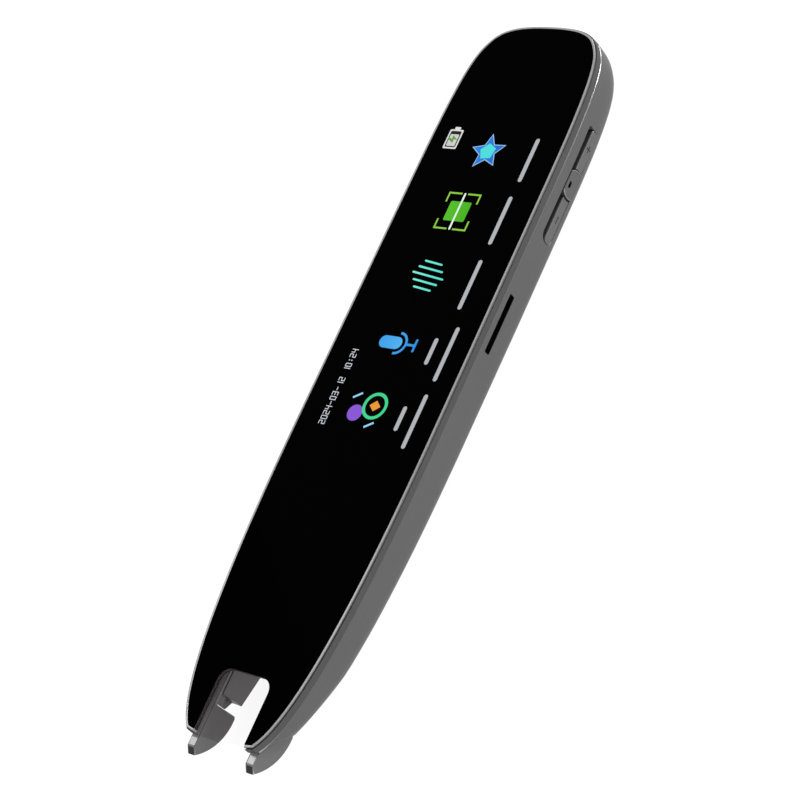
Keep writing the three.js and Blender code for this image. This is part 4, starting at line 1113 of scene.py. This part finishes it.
SHOULDER_START = 35.2
SHOULDER_FLAT = 5.2
SHOULDER_DROP = 4
SHOULDER_REACH = 14
SHOULDER_SHARES = [(0.55, 0), (0.85, 0.3), (0.9, 1)]
INLAY_FIT = 0.1
TRIM_LINE = 0.5
HORN_END = 37.8
PANEL_GAP = 0.05
PLATE_DEPTH = 12.8
TRIM_DEPTH = 12.9
PANEL_DEPTH = 12.75
PLATE_EDGE = 0.08
PANEL_EDGE = 0.04
SLOT_PITCH = 1.84
SLOT_HALF_WIDTH = 0.58
SLOT_HALF_LENGTH = 4.3
SLOT_SLANT = 0.32
SLOT_MIDDLE = 21.7
SLOT_EDGE = 0.03
SLOT_BOTTOM = 10
SLOT_SHARES = [0.57, 0.53, 0.7, 1, 0.76, 0.55, 0.64]
GRILLE_GAP = 0.01
GRILLE_DEPTH = 12.68
GRILLE_LIFT = 0.05

shoulder_line = straight(begun(0, SHOULDER_START), SHOULDER_FLAT, SHOULDER_START, 2)
shoulder_line = curved(shoulder_line, SHOULDER_SHARES, INLAY_HALF - SHOULDER_FLAT, SHOULDER_START, SHOULDER_DROP,
                       SHOULDER_FLAT)
shoulder_line = straight(shoulder_line, SHOULDER_REACH, SHOULDER_START + SHOULDER_DROP)


def inlay_edge(amount):
    return inset(inlay_loop, amount)[:len(inlay_line)]


def above_shoulder(amount):
    """The part of the inlay above the plate, inset all round and cut off at the ends of the horns."""
    level = [Vector((SHOULDER_REACH, HORN_END)), Vector((0, HORN_END))]
    side = crossing(inlay_edge(amount), level)
    return whole(crossing(side, shifted(shoulder_line, -amount)[::-1]))


plate_loop = whole(crossing(shoulder_line, inlay_edge(INLAY_FIT)))
plate = slab(plate_loop, "depth", RECESS_DEPTH, PLATE_DEPTH, 0, PLATE_EDGE)
dress(plate, "brushed_back", "brushed_plate", "brushed_plate", "back_plate")

trim = slab(above_shoulder(INLAY_FIT), "depth", RECESS_DEPTH, TRIM_DEPTH, 0, PLATE_EDGE)
trim_hole = above_shoulder(INLAY_FIT + TRIM_LINE)
trim = cut(trim, mouth(trim_hole, "depth", TRIM_DEPTH, RECESS_DEPTH - MARGIN, PLATE_EDGE))
dress(trim, "panel_trim", "bright_trim", "bright_trim", "sound_trim")

panel_loop = above_shoulder(INLAY_FIT + TRIM_LINE + PANEL_GAP)
panel = slab(panel_loop, "depth", RECESS_DEPTH, PANEL_DEPTH, 0, PANEL_EDGE)
slots, grille = [], []
for i, share in enumerate(SLOT_SHARES):
    x = (i - len(SLOT_SHARES) // 2) * SLOT_PITCH
    half = SLOT_HALF_LENGTH * share
    slant = SLOT_SLANT * (-1) ** i
    corners = [
        (SLOT_HALF_WIDTH, half + slant), (SLOT_HALF_WIDTH, -half - slant),
        (-SLOT_HALF_WIDTH, slant - half), (-SLOT_HALF_WIDTH, half - slant),
    ]
    slot_loop = [Vector((x + a, SLOT_MIDDLE + b)) for a, b in corners]
    slots.append(mouth(slot_loop, "depth", PANEL_DEPTH, SLOT_BOTTOM, SLOT_EDGE))
    grille.append(slab(inset(slot_loop, GRILLE_GAP), "depth", RECESS_DEPTH + GRILLE_LIFT, GRILLE_DEPTH))
dress(cut(panel, *slots), "slotted_panel", "black_gloss", "black_gloss", "sound_panel")
# The grille's light grey is partly painted light, making up for the shade in the slots.
dress(gathered(grille), "slot_grille", "speaker_mesh", "speaker_mesh")

# ------------ keys and the saddle between them

DISC_STEPS = 48
SADDLE_CENTRE = 31.35
SADDLE_DEPTH = 6.9
SADDLE_RADIUS = 2.95
SADDLE_ROUND = 0.1
SADDLE_EDGE = 0.2
SADDLE_EDGE_ROOT = 16.2
SADDLE_EDGE_ROUND = 0.08
SADDLE_EDGE_INSET = 0.05
SADDLE_SKIRT = 0.22
SADDLE_FACE = span("key_saddle", "x")[1]
SADDLE_LEVEL = SADDLE_FACE - 0.05
SOUND_HOLE_BOTTOM = 15.4
SOUND_HOLE_EDGE = 0.05
KEY_START = 19.4
KEY_END = 44.3
KEY_NEAR = 5.98
KEY_FAR = 8.24
KEY_ROOT = span("upper_key", "x")[0]
KEY_GAP = 0.3
KEY_FAR_GAP = 0.02
KEY_CORNER = 1.0
KEY_START_CORNER = 0.45
KEY_EDGE = 0.2
CAP_HEIGHT = 0.5
SKIRT_DROP = 0.36
SKIRT_PROUD = 0.04
SIGN_DEPTH = 0.15
SIGN_CORNER = 0.08
PAINT = 0.06
PAINT_GAP = 0.01
PLUS_SIGN = [(22.4, 24.0, 6.88, 7.12), (23.08, 23.32, 6.3, 7.7)]
MINUS_SIGN = [(38.2, 39.8, 6.88, 7.12)]
LINER_LEVELS = (14.92, 14.98)

# Plates seen from the key side, as the card slot is.
BAND = (27, 36, 4.82, 8.2, CORNER)
SOUND_HOLE = (31.0, 32.45, 5.6, 6.35, 0.3)
LINER = (19.4, 44.4, 4.5, 8.2, 1.6)
LINER_HOLE = (19.5, 44.3, KEY_NEAR - 0.1, KEY_FAR + 0.04, KEY_CORNER)


def disc(radius, inner=WALL_INSIDE, outer=WALL_OUTSIDE, edge=0):
    return slab(circle(SADDLE_CENTRE, SADDLE_DEPTH, radius, DISC_STEPS), "side", inner, outer, 0, edge)


def key_face(p):
    """A cap's face lies below the wall at its near edge, and comes almost level with it at the far one."""
    share = min(1, max(0, (p.y - KEY_NEAR) / (KEY_FAR - KEY_NEAR)))
    return wall_side(p) - KEY_GAP + (KEY_GAP - KEY_FAR_GAP) * share


def key_cap(name, node, body, start, end, start_corner, signs):
    """A key's cap with its sunk signs, and the dark skirt below it, which is painted shade in the gap round the
    cap. Both keep clear of the round saddle.
    """
    loop = rounded(start, end, KEY_NEAR, KEY_FAR, KEY_CORNER, start_corner)
    skirt_ends = (KEY_ROOT, lambda p: key_face(p) - SKIRT_DROP)
    skirt = shape([ring(inset(loop, -SKIRT_PROUD), "side", level) for level in skirt_ends])
    skirt = cut(skirt, disc(SADDLE_RADIUS + KEY_GAP - SKIRT_PROUD))
    dress(skirt, name + "_painted_shade_ring", "rubber", "rubber", node, body=body)
    cap_rings = [ring(loop, "side", lambda p: key_face(p) - CAP_HEIGHT)]
    for i, on in reversed(edge_profile(KEY_EDGE)):
        cap_rings.append(ring(inset(loop, i), "side", lambda p, on=on: key_face(p) - on))
    cutters, paint = [], []
    for sign in signs:
        sign_loop = rounded(*sign, SIGN_CORNER)
        level = key_face(Vector((sign[0], sign[3]))) - SIGN_DEPTH
        cutters.append(slab(sign_loop, "side", level, HALF_WIDTH + MARGIN))
        paint.append(slab(inset(sign_loop, PAINT_GAP), "side", level - PAINT, level + PAINT))
    cap = cut(shape(cap_rings), disc(SADDLE_RADIUS + KEY_GAP), *cutters)
    dress(cap, name, "keys", "keys", node, body=body)
    dress(gathered(paint), name + "_mark", "rubber", "rubber", body=body)


key_cap("volume_up_key", "upper_key", "upper_button", KEY_START, SADDLE_CENTRE, KEY_START_CORNER, PLUS_SIGN)
key_cap("volume_down_key", "lower_key", "lower_button", SADDLE_CENTRE, KEY_END, None, MINUS_SIGN)

band_loop = rounded(*BAND)
hole_loop = rounded(*SOUND_HOLE)
# The dark skirt round the saddle is painted shade in the gap beside it.
skirt = disc(SADDLE_RADIUS + SKIRT_PROUD, KEY_ROOT, SADDLE_FACE - SADDLE_SKIRT)
skirt = common(skirt, side_cutter(inset(band_loop, -SKIRT_PROUD)))
saddle = common(disc(SADDLE_RADIUS, KEY_ROOT, SADDLE_LEVEL, SADDLE_ROUND), side_cutter(band_loop))
saddle = cut(saddle, mouth(hole_loop, "side", SADDLE_LEVEL, SOUND_HOLE_BOTTOM, SOUND_HOLE_EDGE))
dress(saddle, "key_bridge", "casing", "casing", "key_saddle")
dress(cut(skirt, side_cutter(hole_loop)), "key_bridge_painted_shade_ring", "rubber", "rubber")
# The lighter polished ring round the saddle's rim is a painted glint.
edge = disc(SADDLE_RADIUS, SADDLE_EDGE_ROOT, SADDLE_FACE, SADDLE_EDGE_ROUND)
edge = cut(edge, disc(SADDLE_RADIUS - SADDLE_EDGE))
edge = common(edge, side_cutter(inset(band_loop, SADDLE_EDGE_INSET)))
dress(edge, "bridge_painted_glint_edge", "polished", "casing", "key_saddle")

# The dark liner that the keys stand in is painted shade: it makes the gaps round them dark.
liner = slab(rounded(*LINER), "side", *LINER_LEVELS)
liner = cut(liner, side_cutter(rounded(*LINER_HOLE)))
dress(liner, "key_painted_shade_liner", "rubber", "rubber")

# ------------ tip: trigger, hood and its window

FIN_TOP = 146.1
FIN_NEAR = 2.3
FIN_REACH = 6.6
FIN_RUN = LENGTH - FIN_TOP
FIN_EDGE = 0.28
FIN_INNER_EDGE = 0.12
ARM_TOP = span("tip_trigger", "s")[0]
ARM_END = FIN_TOP + 0.1
ARM_CORNER = 0.3
WEB = 1.0
WEB_CORNER = 0.2
WEB_EDGE = 0.15
FLANGE = 0.6
FLANGE_EDGE = 0.08
BRIDGE_RUN = 2
BRIDGE_LEVELS = (3.4, 5.2)
BRIDGE_EDGE = 0.1
GROOVE_INNER = FIN_INNER + 0.1
GROOVE_OUTER = FIN_INNER + 0.22
GROOVE_LEVEL = FIN_NEAR + 0.2
GROOVE_START = FIN_TOP - 0.4

# Shares of the fin's run and of its reach in depth.
FIN_END_SHARES = [(0.86, 0), (0.985, 0.16)]
FIN_BELLY_SHARES = [(0.78, 0.68), (0.45, 1.02), (0.05, 1)]
FIN_SHOULDER_SHARE = (0, 0.95)


def on_fin(run, reach):
    return Vector((FIN_TOP + run * FIN_RUN, FIN_NEAR + reach * FIN_REACH))


fin_line = [on_fin(*share) for share in [(0, 0)] + FIN_END_SHARES]
fin_line = curved(fin_line, FIN_BELLY_SHARES, FIN_RUN, FIN_NEAR, FIN_REACH, FIN_TOP)
fin_loop = fin_line + [on_fin(*FIN_SHOULDER_SHARE)]
parts = []
for side in SIDES:
    flange = beside(side, FIN_INNER, FIN_OUTER, ARM_TOP, ARM_END, ARM_CORNER)
    web = beside(side, FIN_OUTER - WEB, FIN_OUTER, ARM_TOP, ARM_END, WEB_CORNER)
    parts += [
        slab(fin_loop, "side", side * FIN_INNER, side * FIN_OUTER, FIN_INNER_EDGE, FIN_EDGE),
        slab(flange, "depth", FIN_NEAR, FIN_NEAR + FLANGE, FLANGE_EDGE, FLANGE_EDGE),
        slab(web, "depth", FIN_NEAR, ARM_FAR, FLANGE_EDGE, WEB_EDGE),
    ]
bridge_loop = centred(FIN_OUTER, ARM_TOP, ARM_TOP + BRIDGE_RUN, ARM_CORNER)
trigger = join(slab(bridge_loop, "depth", *BRIDGE_LEVELS, BRIDGE_EDGE, BRIDGE_EDGE), *parts)
groove_sizes = (GROOVE_INNER, GROOVE_OUTER, GROOVE_START, LENGTH + MARGIN, SHARP_CORNER)
trigger = cut(trigger, *pair(groove_sizes, 0, GROOVE_LEVEL))
dress(trigger, "tip_fins", "trigger", "trigger", "tip_trigger", body=TRIGGER_BODY)

# Strips on the front of the fins and of their arms, and where each starts and ends: a painted highlight on the
# fins beyond the glass, and on the arms under it a lighter grey, painted light that makes up for their shade.
STRIPS = [("fin_painted_highlight_faces", "painted_highlight_metal", 152.9, 154.4), ("arm_painted_light_faces", "arm_painted_light", ARM_TOP + 3, 152.8)]
STRIP_INNER = GROOVE_OUTER + 0.03
STRIP_OUTER = FIN_OUTER - 0.3
STRIP_PROUD = 0.03
STRIP_SINK = 0.1
STRIP_EDGE = 0.02
for name, finish, start, end in STRIPS:
    sizes = (STRIP_INNER, STRIP_OUTER, start, end, CORNER)
    faces = pair(sizes, FIN_NEAR - STRIP_PROUD, FIN_NEAR + STRIP_SINK, STRIP_EDGE)
    dress(gathered(faces), name, finish, "trigger", "tip_trigger", body=TRIGGER_BODY)

# A dark sheet over each fin's end faces is painted shade.
PAD_INNER = FIN_INNER + 0.3
PAD_OUTER = FIN_OUTER - 0.35
PAD_PROUD = 0.03
PAD_SINK = 0.1
PAD_START = 154.55
PAD_NEAR = FIN_NEAR + 0.12
# A darker sheet on each fin's inner face is a painted shadow of the clear pane; its slanted end follows where that
# shadow falls.
PANE_SHADOW_SHEET = 0.02
PANE_SHADOW_SINK = 0.05
PANE_SHADOW_INSET = 0.22
PANE_SHADOW_NEAR_END = 152.9
PANE_SHADOW_FAR_END = 150.6
# Light strips along the top edges of the fins are painted highlights.
EDGE_SIZES = (FIN_INNER + 0.02, FIN_INNER + 0.2, FIN_TOP - 0.04, FIN_TOP + 0.1, SHARP_CORNER)
EDGE_LEVELS = (FIN_NEAR + 0.7, FIN_NEAR + 6.3)
# Dark strips filling the grooves on the fins' fronts are painted shade.
LINE_SIZES = (GROOVE_INNER, GROOVE_OUTER, FIN_TOP - 0.3, 154.6, SHARP_CORNER)
LINE_LEVELS = (FIN_NEAR - 0.01, GROOVE_LEVEL + 0.05)

painted_pane_shadow_start = FIN_TOP - MARGIN
painted_pane_shadow_corners = (
    (painted_pane_shadow_start, 0), (PANE_SHADOW_NEAR_END, 0), (PANE_SHADOW_FAR_END, THICKNESS), (painted_pane_shadow_start, THICKNESS),
)
painted_pane_shadow_reach = [Vector(corner) for corner in painted_pane_shadow_corners]
painted_end_shades, painted_pane_shadows = [], []
for side in SIDES:
    pad = slab(inset(fin_loop, -PAD_PROUD), "side", side * PAD_INNER, side * PAD_OUTER)
    pad = cut(pad, side_cutter(inset(fin_loop, PAD_SINK), -WALL_INSIDE, WALL_INSIDE))
    pad_end = cutter(centred(WALL_INSIDE, PAD_START, LENGTH + MARGIN, SHARP_CORNER), PAD_NEAR, WALL_INSIDE)
    painted_end_shades.append(common(pad, pad_end))
    painted_pane_shadow = slab(inset(fin_loop, PANE_SHADOW_INSET), "side", side * (FIN_INNER - PANE_SHADOW_SHEET),
                  side * (FIN_INNER + PANE_SHADOW_SINK))
    painted_pane_shadows.append(common(painted_pane_shadow, side_cutter(painted_pane_shadow_reach, -WALL_INSIDE, WALL_INSIDE)))
edges = pair(EDGE_SIZES, *EDGE_LEVELS, STRIP_EDGE, STRIP_EDGE)
lines = pair(LINE_SIZES, *LINE_LEVELS)
for name, pieces, finish, slot in (
    ("fin_painted_pane_shadows", painted_pane_shadows, "painted_pane_shadow", "trigger"), ("fin_painted_end_shades", painted_end_shades, "painted_end_shade", "black_plastic"),
    ("fin_top_painted_highlight_edges", edges, "bright_trim", "trigger"), ("fin_painted_shade_lines", lines, "rubber", "rubber"),
):
    dress(gathered(pieces), name, finish, slot, "tip_trigger", body=TRIGGER_BODY)

HOOD_HALF = span("scan_hood", "x")[1]
HOOD_TOP, HOOD_END = span("scan_hood", "s")
HOOD_NEAR, HOOD_FAR = span("scan_hood", "d")
HOOD_LEAN = 3.45 / 7.6
HOOD_SHEET = 1.2
HOOD_EDGE = 0.12
CHEEK = 0.7
CHEEK_NEAR = 3
CHEEK_FAR = 8.4
CHEEK_EDGE = 0.05
PANE_HALF = span("camera_window", "x")[1]
PANE_NEAR, PANE_FAR = span("camera_window", "d")
PANE_SHEET = 0.7
PANE_STEP = 0.15
PANE_FIT = 0.1
PANE_CORNER = 0.3


def hood_face(d):
    return HOOD_END - (d - HOOD_NEAR) * HOOD_LEAN


def sloped(near, far, back, sheet):
    """The section of a plate that lies along the face of the hood."""
    front = [Vector((hood_face(d) - back, d)) for d in (near, far)]
    return front + [Vector((p.x - sheet, p.y)) for p in reversed(front)]


cheek_corners = (
    (HOOD_TOP, CHEEK_NEAR), (hood_face(CHEEK_NEAR), CHEEK_NEAR),
    (hood_face(CHEEK_FAR), CHEEK_FAR), (HOOD_TOP, CHEEK_FAR),
)
cheek_loop = [Vector(corner) for corner in cheek_corners]
cheeks = [
    slab(cheek_loop, "side", side * (HOOD_HALF - CHEEK), side * HOOD_HALF, CHEEK_EDGE, CHEEK_EDGE)
    for side in SIDES
]
hood_loop = sloped(HOOD_NEAR, HOOD_FAR, 0, HOOD_SHEET)
hood = join(slab(hood_loop, "side", -HOOD_HALF, HOOD_HALF, HOOD_EDGE, HOOD_EDGE), *cheeks)
hole_half = PANE_HALF + PANE_FIT
pane_hole = rounded(-hole_half, hole_half, PANE_NEAR - PANE_FIT, PANE_FAR + PANE_FIT, PANE_CORNER)
hood = cut(hood, slab(pane_hole, "along", HOOD_TOP, LENGTH))
dress(hood, "sloped_hood", "hood", "hood", "scan_hood")
pane_loop = sloped(PANE_NEAR, PANE_FAR, PANE_STEP, PANE_SHEET)
pane = slab(pane_loop, "side", -PANE_HALF, PANE_HALF, HOOD_EDGE, HOOD_EDGE)
dress(pane, "dark_pane", "black_gloss", "black_gloss", "camera_window")

# ------------ inlet

SOCKET_START, SOCKET_END = span("inlet_socket", "s")
SOCKET_WALL = 0.35
MOUTH_EDGE = 0.12
SOCKET_END_EDGE = 0.3
TONGUE_START, TONGUE_END = span("inlet_tongue", "s")
TONGUE_NEAR, TONGUE_FAR = span("inlet_tongue", "d")
TONGUE_CORNER = 0.12
TONGUE_EDGE = 0.2
CONTACTS = 12
CONTACT_PITCH = 0.5
CONTACT_HALF = 0.13
CONTACT_START = TONGUE_START + 0.5
CONTACT_END = TONGUE_END - 0.6
CONTACT_PROUD = 0.02
CONTACT_SINK = 0.05

socket = slab(socket_loop, "along", SOCKET_START, SOCKET_END, MOUTH_EDGE, SOCKET_END_EDGE)
socket_room = mouth(inset(socket_loop, SOCKET_WALL), "along", SOCKET_START, SOCKET_END - SOCKET_WALL, MOUTH_EDGE)
dress(cut(socket, socket_room), "inlet_shell", "steel", "steel", "inlet_socket")
tongue_loop = rounded(*span("inlet_tongue", "x"), TONGUE_NEAR, TONGUE_FAR, TONGUE_CORNER)
tongue = slab(tongue_loop, "along", TONGUE_START, TONGUE_END, TONGUE_EDGE)
dress(tongue, "inlet_blade", "black_plastic", "black_plastic", "inlet_tongue")
contacts = []
for i in range(CONTACTS):
    x = (i - (CONTACTS - 1) / 2) * CONTACT_PITCH
    strip = rounded(x - CONTACT_HALF, x + CONTACT_HALF, CONTACT_START, CONTACT_END, CORNER)
    contacts += [
        slab(strip, "depth", TONGUE_NEAR - CONTACT_PROUD, TONGUE_NEAR + CONTACT_SINK),
        slab(strip, "depth", TONGUE_FAR - CONTACT_SINK, TONGUE_FAR + CONTACT_PROUD),
    ]
dress(gathered(contacts), "inlet_contacts", "gold", "steel")

# ------------ carried-over nodes

CARRIED = {
    "rubber": "glass_seal speaker_gasket battery_pad",
    "speaker_mesh": "speaker_mesh",
    "black_plastic": "speaker_frame upper_switch lower_switch trigger_switch camera_holder",
    "cone": "speaker_cone",
    "steel": "speaker_magnet shield_can microphone",
    "display": "display_panel",
    "backlight": "display_backlight",
    "ribbon": "display_ribbon camera_ribbon",
    "circuit_board": "main_board tip_board key_board camera_board light_board",
    "chips": "processor memory_chip",
    "white_plastic": "wireless_antenna upper_plunger lower_plunger trigger_plunger",
    "cell": "battery_cell",
    "socket_black_and_painted_shade": "card_socket",
    "lens": "camera_lens",
    "lamps": "left_lamp right_lamp",
    "screws": "case_screw_1 case_screw_2 case_screw_3 case_screw_4",
}
for finish, node_names in CARRIED.items():
    for node_name in node_names.split():
        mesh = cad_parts[node_name].data
        mesh.materials.clear()
        mesh.materials.append(finishes[finish])
